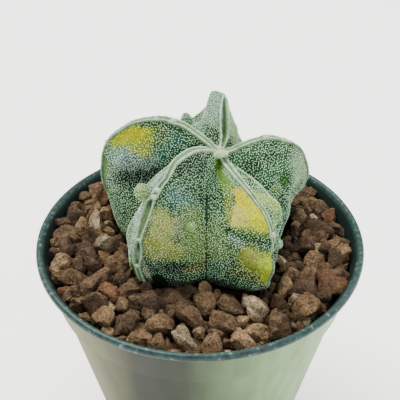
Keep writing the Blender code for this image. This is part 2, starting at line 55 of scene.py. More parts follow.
MM = 0.001
print("nodes:", ", ".join(sorted(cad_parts)))

# %% [markdown]
# ## The camera
#
# The plant is seen from above its rim, about 180 mm away, so the near side of the pot looks larger
# than the far side. The tilt and distance come from the rim: a circle 75 mm across looks like one
# certain ellipse from one certain place. The frame is square.

# %% Place the camera
CAMERA_PLACE = Vector((0.0, -143.1, 177.2)) * MM
CAMERA_AIM = Vector((0.0, 0.0, 69.98)) * MM
# The lens and the sensor in mm, and the nearest distance that is drawn, in metres.
CAMERA_LENS, CAMERA_SENSOR, CAMERA_NEAREST = 72.0, 36.0, 0.01

looking = (CAMERA_AIM - CAMERA_PLACE).to_track_quat("-Z", "Y")
bpy.ops.object.camera_add(location=CAMERA_PLACE, rotation=looking.to_euler())
camera = bpy.context.object
camera.name = "camera"
camera.data.lens = CAMERA_LENS
camera.data.sensor_width = CAMERA_SENSOR
camera.data.clip_start = CAMERA_NEAREST
bpy.context.scene.camera = camera
print("camera tilt in degrees:",
      round(math.degrees(math.asin((looking @ Vector((0.0, 0.0, 1.0))).z)), 1))

# %% [markdown]
# ## Colours and nodes
#
# Colours are written as they are seen on a screen, in hex, and turned to the linear values that
# a shader works with. One function adds a node, sets it up and links it, and one starts a
# material.

# %% Colour and node helpers


def linear(code):
    """An sRGB hex colour as a row of linear red, green and blue."""
    parts = [int(code[k:k + 2], 16) / 255.0 for k in (1, 3, 5)]
    return np.array([c / 12.92 if c <= 0.04045 else ((c + 0.055) / 1.055) ** 2.4 for c in parts])


def opaque(code):
    """The same colour with a full alpha, as a colour input takes it."""
    return (*linear(code), 1.0)


def add_node(tree, kind, inputs=None, out=None, stops=None, to=None, **settings):
    """Adds a node with its settings, its colour stops, and a value or link for each input.
    Gives its output of the name out, or the first one in use, and also links that to to."""
    node = tree.nodes.new("ShaderNode" + kind)
    for name, value in settings.items():
        setattr(node, name, value)
    if stops:
        ramp = node.color_ramp.elements
        while len(ramp) < len(stops):
            ramp.new(1.0)
        for element, (place, code) in zip(ramp, stops):
            element.position = place
            element.color = opaque(code)
    for name, value in (inputs or {}).items():
        if isinstance(value, bpy.types.NodeSocket):
            tree.links.new(value, node.inputs[name])
        else:
            node.inputs[name].default_value = value
    given = node.outputs[out] if out else next(o for o in node.outputs if o.enabled)
    if to:
        tree.links.new(given, to)
    return given


def new_finish(name, inputs):
    """A material, its node tree and its shader's inputs, of which some get a value by name."""
    material = bpy.data.materials.new(name)
    material.use_nodes = True
    shader = material.node_tree.nodes["Principled BSDF"].inputs
    for key, value in inputs.items():
        shader[key].default_value = value
    return material, material.node_tree, shader


# %% [markdown]
# ## Floor and light
#
# The plant stands on a lit white table, as for a catalogue, in a bright room with no hard shadow.
# One wide soft light hangs above and a little behind it, so the crests get a pale edge, and
# weaker ones fill the front and the side.

# %% Lay the floor
FLOOR_HALF_SIZE = 3.0

bpy.ops.mesh.primitive_plane_add(size=2.0 * FLOOR_HALF_SIZE)
floor = bpy.context.object
floor.name = "floor"
# Paper is matt. A low glow stands in for the light that a bright room throws back from it.
paper, _, _ = new_finish("pale_studio_paper", {
    "Roughness": 0.9, "IOR": 1.45, "Base Color": opaque("#fbfbfa"),
    "Emission Color": opaque("#ffffff"), "Emission Strength": 0.9})
floor.data.materials.append(paper)

# %% Set the lights
# Each light: its place and its width in metres, its power in watts, and its colour.
LIGHTS = (
    ("top_light", (-0.20, 0.25, 0.75), 0.5, 15.0, "#fffaf2"),
    ("front_light", (0.35, -0.70, 0.55), 0.7, 6.0, "#f2f7ff"),
    ("side_light", (0.65, 0.25, 0.35), 0.5, 3.5, "#ffffff"),
)
for name, place, width, power, code in LIGHTS:
    aim = (CAMERA_AIM - Vector(place)).to_track_quat("-Z", "Y")
    bpy.ops.object.light_add(type="AREA", location=place, rotation=aim.to_euler())
    light = bpy.context.object
    light.name = name
    light.data.size = width
    light.data.energy = power
    light.data.color = linear(code)

ROOM_STRENGTH = 0.48

room = bpy.data.worlds.new("bright_room")
room.use_nodes = True
background = room.node_tree.nodes["Background"].inputs
background["Color"].default_value = opaque("#ffffff")
background["Strength"].default_value = ROOM_STRENGTH
bpy.context.scene.world = room
print("lights:", len(LIGHTS))

# %% [markdown]
# ## Modelling helpers
#
# A finished piece keeps its object at the origin, unturned and unscaled, with its place in its
# mesh. It rides on the frame's only body, takes the place of a node of the frame, which is hidden,
# and gets its material.

# %% Modelling helpers
BODY = "root"


def set_down(piece, node, material):
    """Finishes a piece: its material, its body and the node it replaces."""
    piece.data.materials.clear()
    piece.data.materials.append(material)
    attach(piece, BODY)
    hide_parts(node)
    triangles = sum(len(face.vertices) - 2 for face in piece.data.polygons)
    print(f"{piece.name}: {triangles} triangles")


def select_only(piece):
    bpy.ops.object.select_all(action="DESELECT")
    piece.select_set(True)
    bpy.context.view_layer.objects.active = piece


def smooth_below(piece, degrees):
    """Smooth shading, but for edges that are sharper than an angle."""
    select_only(piece)
    bpy.ops.object.shade_smooth_by_angle(angle=math.radians(degrees))


def joined(pieces, name):
    """One object from several. The first one's corners come first."""
    bpy.ops.object.select_all(action="DESELECT")
    for piece in pieces:
        piece.select_set(True)
    bpy.context.view_layer.objects.active = pieces[0]
    bpy.ops.object.join()
    pieces[0].name = name
    return pieces[0]


def apply_modifier(piece, kind, **settings):
    """Adds a modifier with its settings and applies it."""
    select_only(piece)
    modifier = piece.modifiers.new(kind.title(), kind)
    for name, value in settings.items():
        setattr(modifier, name, value)
    bpy.ops.object.modifier_apply(modifier=modifier.name)


def corners(piece):
    """The piece's vertices as rows of x, y and z."""
    flat = np.empty(3 * len(piece.data.vertices))
    piece.data.vertices.foreach_get("co", flat)
    return flat.reshape(-1, 3)


def triangles_of(piece):
    """The three vertices of each of the piece's triangles."""
    piece.data.calc_loop_triangles()
    return np.array([face.vertices[:] for face in piece.data.loop_triangles])


def move_corners(piece, places):
    piece.data.vertices.foreach_set("co", np.asarray(places, float).ravel())
    piece.data.update()


def share_of(value, start, length):
    """How far a value has come from a start over a length, from 0 to 1."""
    return min(1.0, max(0.0, (value - start) / length))


def paint(piece, name, colours):
    """Stores one colour for each vertex as an attribute of the mesh."""
    layer = piece.data.color_attributes.new(name, "FLOAT_COLOR", "POINT")
    filled = np.column_stack([colours, np.ones(len(colours))])
    layer.data.foreach_set("color", filled.astype(np.float32).ravel())


MERGE_DISTANCE = 0.01
FLAT_ANGLE, SQUARE_ANGLE = math.radians(50), math.radians(60)


def fine_copy(node, name, levels):
    """A copy of a node's mesh, merged, with its triangles paired, and subdivided smooth."""
    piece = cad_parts[node].copy()
    piece.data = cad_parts[node].data.copy()
    piece.name = piece.data.name = name
    piece.parent = None
    for key in list(piece.keys()):
        del piece[key]
    bpy.context.scene.collection.objects.link(piece)
    select_only(piece)
    bpy.ops.object.mode_set(mode="EDIT")
    bpy.ops.mesh.select_all(action="SELECT")
    bpy.ops.mesh.remove_doubles(threshold=MERGE_DISTANCE * MM)
    bpy.ops.mesh.customdata_custom_splitnormals_clear()
    bpy.ops.mesh.mark_sharp(clear=True)
    bpy.ops.mesh.tris_convert_to_quads(face_threshold=FLAT_ANGLE, shape_threshold=SQUARE_ANGLE)
    bpy.ops.object.mode_set(mode="OBJECT")
    apply_modifier(piece, "SUBSURF", levels=levels, render_levels=levels)
    bpy.ops.object.shade_smooth()
    return piece


# %% [markdown]
# ## The pot
#
# The pot is injection moulded: one thin wall of plastic with a rolled lip, a collar for stacking,
# a tapered body, and a raised floor with holes inside a notched foot ring. It could be a turned
# profile. Here a disc is drawn out ring by ring, each one moved and scaled, as it is done by
# hand. Last, the sharp edges are rounded.

# %% Turn the pot's shell
POT_HEIGHT = 60.0
RIM_RADIUS = 37.5
LIP_DEPTH = 1.6
COLLAR_TOP, COLLAR_FOOT = 36.1, 34.1
COLLAR_DEPTH = 11.6
BODY_TOP = 33.1
FOOT_RADIUS = 23.2
WALL = 1.0
FLOOR_UNDERSIDE, FLOOR_TOP = 1.8, 3.1
POT_STEPS = 144
SHOULDER = POT_HEIGHT - COLLAR_DEPTH

# Radius and height of each ring, from the floor's underside, up the outside and down the inside.
POT_RINGS = (
    (FOOT_RADIUS - 2.6, FLOOR_UNDERSIDE), (FOOT_RADIUS - 2.3, 0.0), (FOOT_RADIUS - 0.35, 0.0),
    (FOOT_RADIUS + 0.25, 0.8), (28.2, 24.0), (BODY_TOP, SHOULDER - 0.5),
    (COLLAR_FOOT - 0.2, SHOULDER), (COLLAR_FOOT, SHOULDER + 0.3),
    (COLLAR_TOP, POT_HEIGHT - LIP_DEPTH - 0.1), (RIM_RADIUS - 0.25, POT_HEIGHT - LIP_DEPTH),
    (RIM_RADIUS, POT_HEIGHT - LIP_DEPTH + 0.35), (RIM_RADIUS, POT_HEIGHT - 0.45),
    (RIM_RADIUS - 0.35, POT_HEIGHT), (RIM_RADIUS - 1.1, POT_HEIGHT),
    (RIM_RADIUS - 1.45, POT_HEIGHT - 0.4), (COLLAR_TOP - WALL, POT_HEIGHT - LIP_DEPTH - 0.2),
    (COLLAR_FOOT - WALL, SHOULDER + 0.4), (BODY_TOP - WALL, SHOULDER - 1.0),
    (FOOT_RADIUS - WALL + 0.2, FLOOR_TOP + 1.4), (FOOT_RADIUS - 2.4, FLOOR_TOP),
)

POT_EDGE, POT_EDGE_ANGLE = 0.22, math.radians(24)


def drawn_out(name, rings, steps):
    """A disc drawn out through rings of a given radius and height. It stays in edit mode."""
    radius, height = rings[0]
    bpy.ops.mesh.primitive_circle_add(vertices=steps, radius=radius * MM, fill_type="NGON",
                                      location=(0.0, 0.0, height * MM))
    piece = bpy.context.object
    piece.name = name
    bpy.ops.object.transform_apply(location=True)
    bpy.ops.object.mode_set(mode="EDIT")
    for (r0, z0), (r1, z1) in zip(rings, rings[1:]):
        bpy.ops.mesh.extrude_region_move(
            TRANSFORM_OT_translate={"value": (0.0, 0.0, (z1 - z0) * MM)})
        bpy.ops.transform.resize(value=(r1 / r0, r1 / r0, 1.0),
                                 center_override=(0.0, 0.0, z1 * MM))
    return piece


def close_up():
    """Turns all faces of the piece outwards and leaves edit mode."""
    bpy.ops.mesh.select_all(action="SELECT")
    bpy.ops.mesh.normals_make_consistent(inside=False)
    bpy.ops.object.mode_set(mode="OBJECT")


pot = drawn_out("moulded_pot", POT_RINGS, POT_STEPS)
close_up()
apply_modifier(pot, "BEVEL", width=POT_EDGE * MM, segments=3, angle_limit=POT_EDGE_ANGLE)
print("pot rings:", len(POT_RINGS))

# %% Cut the drain holes and the foot's notches
DRAIN_RADIUS, DRAIN_CIRCLE, DRAIN_COUNT, DRAIN_STEPS = 2.6, 13.5, 6, 32
NOTCH_WIDTH, NOTCH_HEIGHT, NOTCH_CIRCLE = 4.0, 1.2, FOOT_RADIUS - 1.2
CUT_DEPTH, CUT_LENGTH = 6.0, 7.0


def on_circle(radius, turn, height):
    """A place round the pot's axis."""
    return radius * math.cos(turn) * MM, radius * math.sin(turn) * MM, height * MM


def cut_away(piece, cutter):
    apply_modifier(piece, "BOOLEAN", object=cutter, operation="DIFFERENCE", solver="EXACT")
    bpy.data.objects.remove(cutter)


places = [on_circle(0.0, 0.0, FLOOR_TOP)]
places += [on_circle(DRAIN_CIRCLE, math.tau * k / DRAIN_COUNT, FLOOR_TOP)
           for k in range(DRAIN_COUNT)]
for place in places:
    bpy.ops.mesh.primitive_cylinder_add(vertices=DRAIN_STEPS, radius=DRAIN_RADIUS * MM,
                                        depth=CUT_DEPTH * MM, location=place)
    cut_away(pot, bpy.context.object)
for k in range(DRAIN_COUNT):
    turn = math.tau * (k + 0.5) / DRAIN_COUNT
    bpy.ops.mesh.primitive_cube_add(
        size=1.0, location=on_circle(NOTCH_CIRCLE, turn, 0.0), rotation=(0.0, 0.0, turn),
        scale=(CUT_LENGTH * MM, NOTCH_WIDTH * MM, 2.0 * NOTCH_HEIGHT * MM))
    cut_away(pot, bpy.context.object)
smooth_below(pot, 35.0)
print("holes:", len(places), "notches:", DRAIN_COUNT)

# %% [markdown]
# ### Moulded polypropylene
#
# The plastic is a dark petrol green with a satin skin. A film of dried water, dust and lime makes
# the outside of the wall look pale and dull, and a painted reflection of the bright room, with a
# painted shade left of the middle, lies in the film's colour. The lip is rubbed cleaner, with a
# few bright scuffs, and the inside of the wall stays dark.

# %% Finish the pot
plastic, tree, shader = new_finish("satin_moulded_polypropylene", {
    "IOR": 1.49, "Specular IOR Level": 0.15})
place = add_node(tree, "TexCoord", out="Object")
xyz = add_node(tree, "SeparateXYZ", {"Vector": place}).node.outputs
flat = add_node(tree, "CombineXYZ", {"X": xyz["X"], "Y": xyz["Y"]})
outwards = add_node(tree, "VectorMath", {0: flat}, operation="NORMALIZE")
normal = add_node(tree, "NewGeometry", out="Normal")
facing = add_node(tree, "VectorMath", {0: outwards, 1: normal}, operation="DOT_PRODUCT")
# The film and its painted light lie where the wall faces outwards, below the lip.
outer = add_node(tree, "MapRange", {"Value": facing, "From Min": 0.2, "From Max": 0.6})
below_lip = add_node(tree, "MapRange", {
    "Value": xyz["Z"], "From Min": (POT_HEIGHT - LIP_DEPTH - 0.1) * MM,
    "From Max": (POT_HEIGHT - LIP_DEPTH - 0.5) * MM})
film_and_light_place = add_node(tree, "Math", {0: below_lip, 1: outer}, operation="MULTIPLY")
# Streaks ran down the wall: the pattern is stretched four times along Z.
stretched = add_node(tree, "Mapping", {"Vector": place, "Scale": (1.0, 1.0, 0.25)})
streaks = add_node(tree, "TexNoise", {
    "Vector": stretched, "Scale": 220.0, "Detail": 5.0, "Roughness": 0.6})
streak = add_node(tree, "ValToRGB", {"Fac": streaks}, stops=((0.30, "#d2d2cc"), (0.70, "#ffffff")))
# Across the front the film's colour holds painted light: a painted shade in a strip left of the
# middle, and a painted reflection that makes it palest and greenest at the right.
across = add_node(tree, "MapRange", {
    "Value": xyz["X"], "From Min": -RIM_RADIUS * MM, "From Max": RIM_RADIUS * MM})
painted_shade_and_reflection = add_node(tree, "ValToRGB", {"Fac": across},
                stops=((0.04, "#7c7c48"), (0.18, "#6a6c42"), (0.32, "#23281a"),
                       (0.46, "#2c3424"), (0.68, "#7a9668"), (0.95, "#98b888")))
# Behind, the film has one even colour.
behind = add_node(tree, "MapRange", {
    "Value": xyz["Y"], "From Min": -6.0 * MM, "From Max": 18.0 * MM})
even = add_node(tree, "Mix", {"Factor": behind, "A": painted_shade_and_reflection, "B": opaque("#7f9468")},
                data_type="RGBA")
film_and_painted_light = add_node(tree, "Mix", {"Factor": 1.0, "A": even, "B": streak},
                data_type="RGBA", blend_type="MULTIPLY")
# The lip is bare plastic with pale scuffs about 1 mm apart.
scuffs = add_node(tree, "TexNoise", {"Vector": place, "Scale": 900.0, "Detail": 6.0})
teal = add_node(tree, "ValToRGB", {"Fac": scuffs},
                stops=((0.30, "#1e2c2b"), (0.60, "#304744"), (0.76, "#6c8583")))
above = add_node(tree, "MapRange", {
    "Value": xyz["Z"], "From Min": (POT_HEIGHT - 1.1) * MM,
    "From Max": (POT_HEIGHT - 0.3) * MM})
lip = add_node(tree, "Math", {0: above, 1: outer}, operation="MAXIMUM")
bare = add_node(tree, "Mix", {"Factor": lip, "A": opaque("#16211f"), "B": teal},
                data_type="RGBA")
add_node(tree, "Mix", {"Factor": film_and_light_place, "A": bare, "B": film_and_painted_light}, to=shader["Base Color"],
         data_type="RGBA")
add_node(tree, "MapRange", {"Value": film_and_light_place, "To Min": 0.34, "To Max": 0.55},
         to=shader["Roughness"])
grain = add_node(tree, "TexNoise", {"Vector": place, "Scale": 1400.0, "Detail": 2.0})
add_node(tree, "Bump", {"Height": grain, "Strength": 0.15, "Distance": 0.05 * MM},
         to=shader["Normal"])
set_down(pot, "pot", plastic)

# %% [markdown]
# ## Copies in one mesh
#
# Stones, flecks and hairs repeat by the hundred or the thousand. Each kind is modelled a few
# times, and every copy gets its own turn, size and tint. The copies' points are worked out
# together, and they become one mesh with its own copy of each.

# %% Join copies of a few models


def taken_apart(model):
    """The corners and the triangles of a model, which is then removed."""
    points, sides = corners(model), triangles_of(model)
    bpy.data.objects.remove(model)
    return points, sides


def joined_copies(name, models, choice, matrices, tints):
    """One object from copies: model number, 3 by 4 matrix and tint of each."""
    points, sides, colours, count = [], [], [], 0
    for number, (shape, faces) in enumerate(models):
        chosen = np.flatnonzero(choice == number)
        if not len(chosen):
            continue
        turned = np.einsum("nij,vj->nvi", matrices[chosen, :, :3], shape)
        turned += matrices[chosen, None, :, 3]
        starts = count + np.arange(len(chosen)) * len(shape)
        points.append(turned.reshape(-1, 3))
        sides.append((faces[None] + starts[:, None, None]).reshape(-1, 3))
        colours.append(np.repeat(tints[chosen], len(shape), axis=0))
        count += len(chosen) * len(shape)
    mesh = bpy.data.meshes.new(name)
    mesh.from_pydata(np.concatenate(points), [], np.concatenate(sides))
    mesh.shade_smooth()
    piece = bpy.data.objects.new(name, mesh)
    bpy.context.scene.collection.objects.link(piece)
    paint(piece, "tint", np.concatenate(colours))
    return piece


# %% [markdown]
# ## The lava stones
#
# The growing mix is crushed lava and baked clay, sieved to 3 to 7 mm. A crushed stone has a few
# flat breaks, dull edges and a rough, pitted skin. Each model starts as a ball: flat cuts break
# it, a fine remesh evens its faces, a smoothing dulls its edges, and a displacement roughens it.

# %% Model the stones
STONE_MODELS, STONE_FACES, MODEL_SEED = 14, 380, 400
# The ball's radius, how many cuts it gets, how far they lie from its middle, and the width of
# the remesh's cells. All lengths here are shares of the stone's size.
BALL_RADIUS, CUT_COUNT, CUT_PLACE, CELL = 0.58, (9, 13), (0.28, 0.46), 0.04
# Each roughening: the size of its lumps and how far it moves the surface.
ROUGHENINGS = ((0.35, 0.14), (0.10, 0.07))


def broken_stone(number):
    """A ball broken by flat cuts, then roughened."""
    draw = random.Random(MODEL_SEED + number)
    bpy.ops.mesh.primitive_ico_sphere_add(subdivisions=4, radius=BALL_RADIUS)
    stone = bpy.context.object
    bpy.ops.object.mode_set(mode="EDIT")
    for _ in range(draw.randint(*CUT_COUNT)):
        normal = Vector([draw.gauss(0.0, 1.0) for _ in range(3)]).normalized()
        bpy.ops.mesh.select_all(action="SELECT")
        bpy.ops.mesh.bisect(plane_co=normal * draw.uniform(*CUT_PLACE), plane_no=normal,
                            use_fill=True, clear_outer=True)
    bpy.ops.object.mode_set(mode="OBJECT")
    apply_modifier(stone, "REMESH", mode="VOXEL", voxel_size=CELL)
    apply_modifier(stone, "SMOOTH", factor=0.5, iterations=10)
    for size, strength in ROUGHENINGS:
        pattern = bpy.data.textures.new(f"stone_{number}_{size}", "CLOUDS")
        pattern.noise_scale = size
        apply_modifier(stone, "DISPLACE", texture=pattern, strength=strength, mid_level=0.5)
    ratio = STONE_FACES / (2.0 * len(stone.data.polygons))
    apply_modifier(stone, "DECIMATE", ratio=min(1.0, ratio))
    return taken_apart(stone)


stone_models = [broken_stone(number) for number in range(STONE_MODELS)]
print("faces of the stone models:", [len(sides) for _, sides in stone_models])

# %% [markdown]
# ### Where the stones lie
#
# Large stones are thrown in first and smaller ones between them, by a seeded draw. The top stones
# fill the same ring as the frame's granules, and are heaped against the wall. Small stones fill
# the gaps between them, and a lower layer, 2 to 3 mm down, shows through.

# %% Lay the stones
FIT_GAP, WALL_GAP = 0.35, 0.3
BED_DEPTH = 5.2
BED_TOP = POT_HEIGHT - BED_DEPTH
STONE_SIZE_STEPS, STONE_TRIES = 9, 1500
# Each layer: its seed, how high its stones' middles lie above the bed, its largest and its
# smallest size, how close two stones may come as a share of their size, and the gap to the stem.
TOP_LAYER = (11, (0.3, 1.5), (6.6, 3.3), 0.74, 0.5)
GAP_LAYER = (13, (-0.5, 0.7), (3.8, 2.2), 0.72, 1.4)
LOW_LAYER = (12, (-2.4, -1.0), (4.6, 2.8), 0.8, 1.0)
FOOT_GAP = 0.6
TOP_STONE_SCALE = 0.9
# How high the heap gets and how far it is pushed outwards, the distance from the pot's axis where
# it starts, and the width over which it rises. It also rises from the front towards the back.
# A stone's top, at a share of its size, stays so far below the rim.
WALL_HEAP, HEAP_PUSH = 3.4, 0.035
RIM_CLEAR, TOP_SHARE = 0.2, 0.4
HEAP_START, HEAP_WIDTH = 17.0, 10.0
HEAP_FRONT, HEAP_FRONT_WIDTH = -24.0, 16.0
# The stem's axis, and how far below the rim its outline among the stones is measured.
STEM_AXIS, OUTLINE_DEPTH = Vector((4.2, 5.0)), 3.3


def wall_inside(height):
    """The pot's inner radius at a height inside its collar, in millimetres."""
    share = (height - SHOULDER - 0.4) / (COLLAR_DEPTH - LIP_DEPTH - 0.6)
    return COLLAR_FOOT - WALL + (COLLAR_TOP - COLLAR_FOOT) * share


def tree_of(piece):
    """A search tree of a piece's faces."""
    return BVHTree.FromPolygons(corners(piece).tolist(), triangles_of(piece).tolist())


def level_ray(degrees):
    return Vector((math.cos(math.radians(degrees)), math.sin(math.radians(degrees)), 0.0))


def soil_outline(extra):
    """The stem's reach round its axis where it meets the stones, for each degree."""
    start = Vector((*STEM_AXIS, POT_HEIGHT - OUTLINE_DEPTH)) * MM
    return [(stem_tree.ray_cast(start, level_ray(degree))[0] - start).length / MM + extra
            for degree in range(360)]


def clear_of_stem(place, outline):
    away = place.xy - STEM_AXIS
    return away.length > outline[int(math.degrees(math.atan2(away.y, away.x))) % 360]


def stone_places(seed, rise, sizes, closeness, stem_gap, among=()):
    """(place, size) in mm of each stone of a layer that fits among the stones laid before."""
    draw = random.Random(seed)
    large, small = sizes
    outline = soil_outline(stem_gap)
    placed = list(among)
    for step in range(STONE_SIZE_STEPS):
        size = large + (small - large) * step / (STONE_SIZE_STEPS - 1)
        for _ in range(STONE_TRIES):
            radius = wall_inside(BED_TOP) - WALL_GAP - 0.5 * size
            radius *= math.sqrt(draw.random())
            turn = math.tau * draw.random()
            height = BED_TOP + draw.uniform(*rise)
            place = Vector((radius * math.cos(turn), radius * math.sin(turn), height))
            near = any((place.xy - other.xy).length < closeness * (size + width) / 2.0
                       for other, width in placed)
            if not near and clear_of_stem(place, outline):
                placed.append((place, size))
    return placed[len(among):]


def heap(place, size):
    """Lift a stone that lies near the wall, and push it outwards, except in front."""
    share = share_of(place.xy.length, HEAP_START, HEAP_WIDTH)
    share *= share_of(place.y, HEAP_FRONT, HEAP_FRONT_WIDTH)
    room = POT_HEIGHT - RIM_CLEAR - TOP_SHARE * size - place.z
    place.z += max(0.0, min(WALL_HEAP * share, room))
    place.xy *= 1.0 + HEAP_PUSH * share


stem_tree = tree_of(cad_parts["stem"])
top_stones = stone_places(*TOP_LAYER)
# A stone that would hide the foot of the stem is left out, so a dark gap runs round the foot.
top_stones = [(place, size * TOP_STONE_SCALE) for place, size in top_stones
              if clear_of_stem(place, soil_outline(FOOT_GAP + 0.5 * size))]
gap_stones = stone_places(*GAP_LAYER, among=top_stones)
low_stones = stone_places(*LOW_LAYER)
for place, size in top_stones + gap_stones + low_stones:
    heap(place, size)
print("stones on top:", len(top_stones), "in the gaps:", len(gap_stones),
      "below:", len(low_stones))

# %% Join the stones in three pieces
# Each tint and its share: burnt brown is the commonest, and a few are pale pumice or rusty clay.
STONE_TINTS = (
    ("#6b5e4a", 0.31), ("#574c3e", 0.24), ("#7a6a52", 0.16), ("#6e5642", 0.09),
    ("#9a8a70", 0.13), ("#a8a48e", 0.07),
)
STONE_BRIGHTNESS = (0.78, 1.26)
# A stone's three sides as shares of its size, and what makes up for the corners cut off.
STONE_LENGTH, STONE_WIDTH, STONE_HEIGHT = 1.2, (0.75, 1.05), (0.62, 0.9)
STONE_FILL = 1.08
STONE_PIECES, COPY_SEED = 3, 5


def stone_copies(stones, seed):
    """Model number, matrix and tint of each stone."""
    draw = np.random.default_rng(seed)
    codes = [linear(code) for code, _ in STONE_TINTS]
    shares = np.array([share for _, share in STONE_TINTS])
    choice = draw.integers(0, STONE_MODELS, len(stones))
    tints = np.array(codes)[draw.choice(len(codes), len(stones), p=shares / shares.sum())]
    tints *= draw.uniform(*STONE_BRIGHTNESS, (len(stones), 1))
    matrices = np.empty((len(stones), 3, 4))
    for k, (place, size) in enumerate(stones):
        # Four numbers are drawn, and three of them turn the stone.
        upwards = Vector(draw.normal(size=4)[:3])
        spin = upwards.to_track_quat("Z", "X").to_matrix()
        spin = spin @ Matrix.Rotation(draw.uniform(0, math.tau), 3, "Z")
        shape = Matrix.Diagonal((STONE_LENGTH, draw.uniform(*STONE_WIDTH),
                                 draw.uniform(*STONE_HEIGHT)))
        matrices[k, :, :3] = np.array(spin @ shape) * size * STONE_FILL * MM
        matrices[k, :, 3] = np.array(place) * MM
    return choice, matrices, tints


stones = top_stones + gap_stones + low_stones
choice, matrices, tints = stone_copies(stones, COPY_SEED)
stone_pieces = []
for part in range(STONE_PIECES):
    mine = np.arange(len(stones)) % STONE_PIECES == part
    piece = joined_copies(f"lava_stones_{part + 1}", stone_models, choice[mine],
                          matrices[mine], tints[mine])
    smooth_below(piece, 30.0)
    stone_pieces.append(piece)

# %% [markdown]
# ### The bed below
#
# The mix fills the pot. Only its top shows, between the stones, so the rest is one plain
# filled body. Its dark tint is painted shade for the gaps between the stones.

# %% Fill the bed
BED_STEPS = 96
BED_RINGS = (
    (FOOT_RADIUS - WALL - 1.8, FLOOR_TOP + FIT_GAP),
    (BODY_TOP - WALL - FIT_GAP - 0.2, SHOULDER - 1.0),
    (wall_inside(BED_TOP) - FIT_GAP, BED_TOP - 1.6),
)
BED_INSETS, BED_INSET = 12, 2.2

bed = drawn_out("lava_bed", BED_RINGS, BED_STEPS)
for _ in range(BED_INSETS):
    bpy.ops.mesh.inset(thickness=BED_INSET * MM)
close_up()
smooth_below(bed, 35.0)
# The bed's dark tint is painted shade between the stones.
paint(bed, "tint", np.tile(linear("#3a2a21"), (len(bed.data.vertices), 1)))

# %% [markdown]
# ### Crushed lava
#
# Lava cools full of gas bubbles, so a broken face is matt and pitted. A fine noise darkens the
# pits as painted shade, a coarser one lets each stone vary, and both also raise the surface.

# %% Finish the stones
lava, tree, shader = new_finish("crushed_lava", {
    "Roughness": 0.93, "IOR": 1.5, "Specular IOR Level": 0.25})
place = add_node(tree, "TexCoord", out="Object")
colour = add_node(tree, "Attribute", attribute_name="tint")
# Mottling about 1.5 mm across, and pits about 0.4 mm across.
mottling = add_node(tree, "TexNoise", {
    "Vector": place, "Scale": 650.0, "Detail": 4.0, "Roughness": 0.65})
mottle = add_node(tree, "ValToRGB", {"Fac": mottling},
                  stops=((0.30, "#8a7a70"), (0.50, "#c2b4a8"), (0.72, "#fff2e2")))
pits = add_node(tree, "TexNoise", {
    "Vector": place, "Scale": 2400.0, "Detail": 3.0, "Roughness": 0.7})
painted_pit_shade = add_node(tree, "ValToRGB", {"Fac": pits},
               stops=((0.34, "#6d6560"), (0.52, "#e0dcd8"), (0.75, "#ffffff")))
# Both darken the tint, the pits with painted shade, and the last factor makes up for it.
for shade in (mottle, painted_pit_shade, (1.75, 1.75, 1.75, 1.0)):
    colour = add_node(tree, "Mix", {"Factor": 1.0, "A": colour, "B": shade},
                      data_type="RGBA", blend_type="MULTIPLY")
tree.links.new(colour, shader["Base Color"])
rough = add_node(tree, "Math", {0: mottling, 1: pits}, operation="ADD")
add_node(tree, "Bump", {"Height": rough, "Strength": 0.9, "Distance": 0.5 * MM},
         to=shader["Normal"])
for piece in (*stone_pieces, bed):
    set_down(piece, "lava_granules", lava)

# %% [markdown]
# ## The skin
#
# The stem swells into five ribs. The frame's stem has the right form in large facets, so a copy of
# it is merged, subdivided and smoothed. Then low waves, the sharp seams of the furrows and a few
# small pits are pressed into it.

# %% Subdivide the stem
SKIN_LEVELS, SKIN_SMOOTHINGS = 2, 4

skin = fine_copy("stem", "flecked_skin", SKIN_LEVELS)
apply_modifier(skin, "SMOOTH", factor=0.5, iterations=SKIN_SMOOTHINGS)
print("skin corners:", len(skin.data.vertices))

# %% [markdown]
# ### Places on the stem
#
# Felt, flecks and colours follow the crests of the ribs. A rib's crest is found by rays that
# leave the middle of the body in the rib's upright plane. Any point then has a rib, a distance
# along the crest from the growing point, a distance away from it, and a side.

# %% Find the crests and the furrows
RIB_TURNS = (165.0, 226.0, 297.0, 20.0, 88.0)
# Each furrow: a point of its upright plane, and the plane's turn. The front one runs beside the
# stem's axis.
FURROWS = ((STEM_AXIS, 196.0), ((1.4, 1.0), 270.0), (STEM_AXIS, 334.0), (STEM_AXIS, 53.0),
           (STEM_AXIS, 126.0))
BODY_HEIGHT = POT_HEIGHT + 3.0
SOIL_HEIGHT = POT_HEIGHT - 3.0
LINE_STEP = 0.25
# The rays of a line turn down by this angle, from straight up.
RAY_STEP, RAY_COUNT = 0.25, 500
# So many points are compared with all lines at once.
BATCH = 4000


def one_long(rows):
    """The same directions with a length of one."""
    return rows / np.linalg.norm(rows, axis=1)[:, None]


def lengths_along(points):
    """How far each point of a line lies from its start, measured along it."""
    steps = np.linalg.norm(np.diff(points, axis=0), axis=1)
    return np.concatenate([[0.0], np.cumsum(steps)])


def between(wanted, known, rows):
    """Rows of three numbers at the wanted lengths, from rows at known ones."""
    return np.column_stack([np.interp(wanted, known, rows[:, k]) for k in range(3)])


def ridge(skin_tree, middle, turn):
    """Points where an upright plane meets the skin, from the top to the soil, evenly spaced."""
    out = level_ray(turn)
    start = Vector((*middle, BODY_HEIGHT)) * MM
    found = []
    for k in range(RAY_COUNT):
        tilt = math.radians(90.0 - RAY_STEP * k)
        ray = out * math.cos(tilt) + Vector((0.0, 0.0, math.sin(tilt)))
        place = skin_tree.ray_cast(start, ray)[0] / MM
        if place.z < SOIL_HEIGHT:
            break
        found.append(place[:])
    found = np.array(found)
    along = lengths_along(found)
    return between(np.arange(0.0, along[-1], LINE_STEP), along, found)


def lines_on(skin_tree):
    """All crests and all furrows."""
    return ([ridge(skin_tree, STEM_AXIS, turn) for turn in RIB_TURNS],
            [ridge(skin_tree, middle, turn) for middle, turn in FURROWS])


crests, furrows = lines_on(tree_of(skin))
print("crest lengths in mm:", [round(len(line) * LINE_STEP, 1) for line in crests])


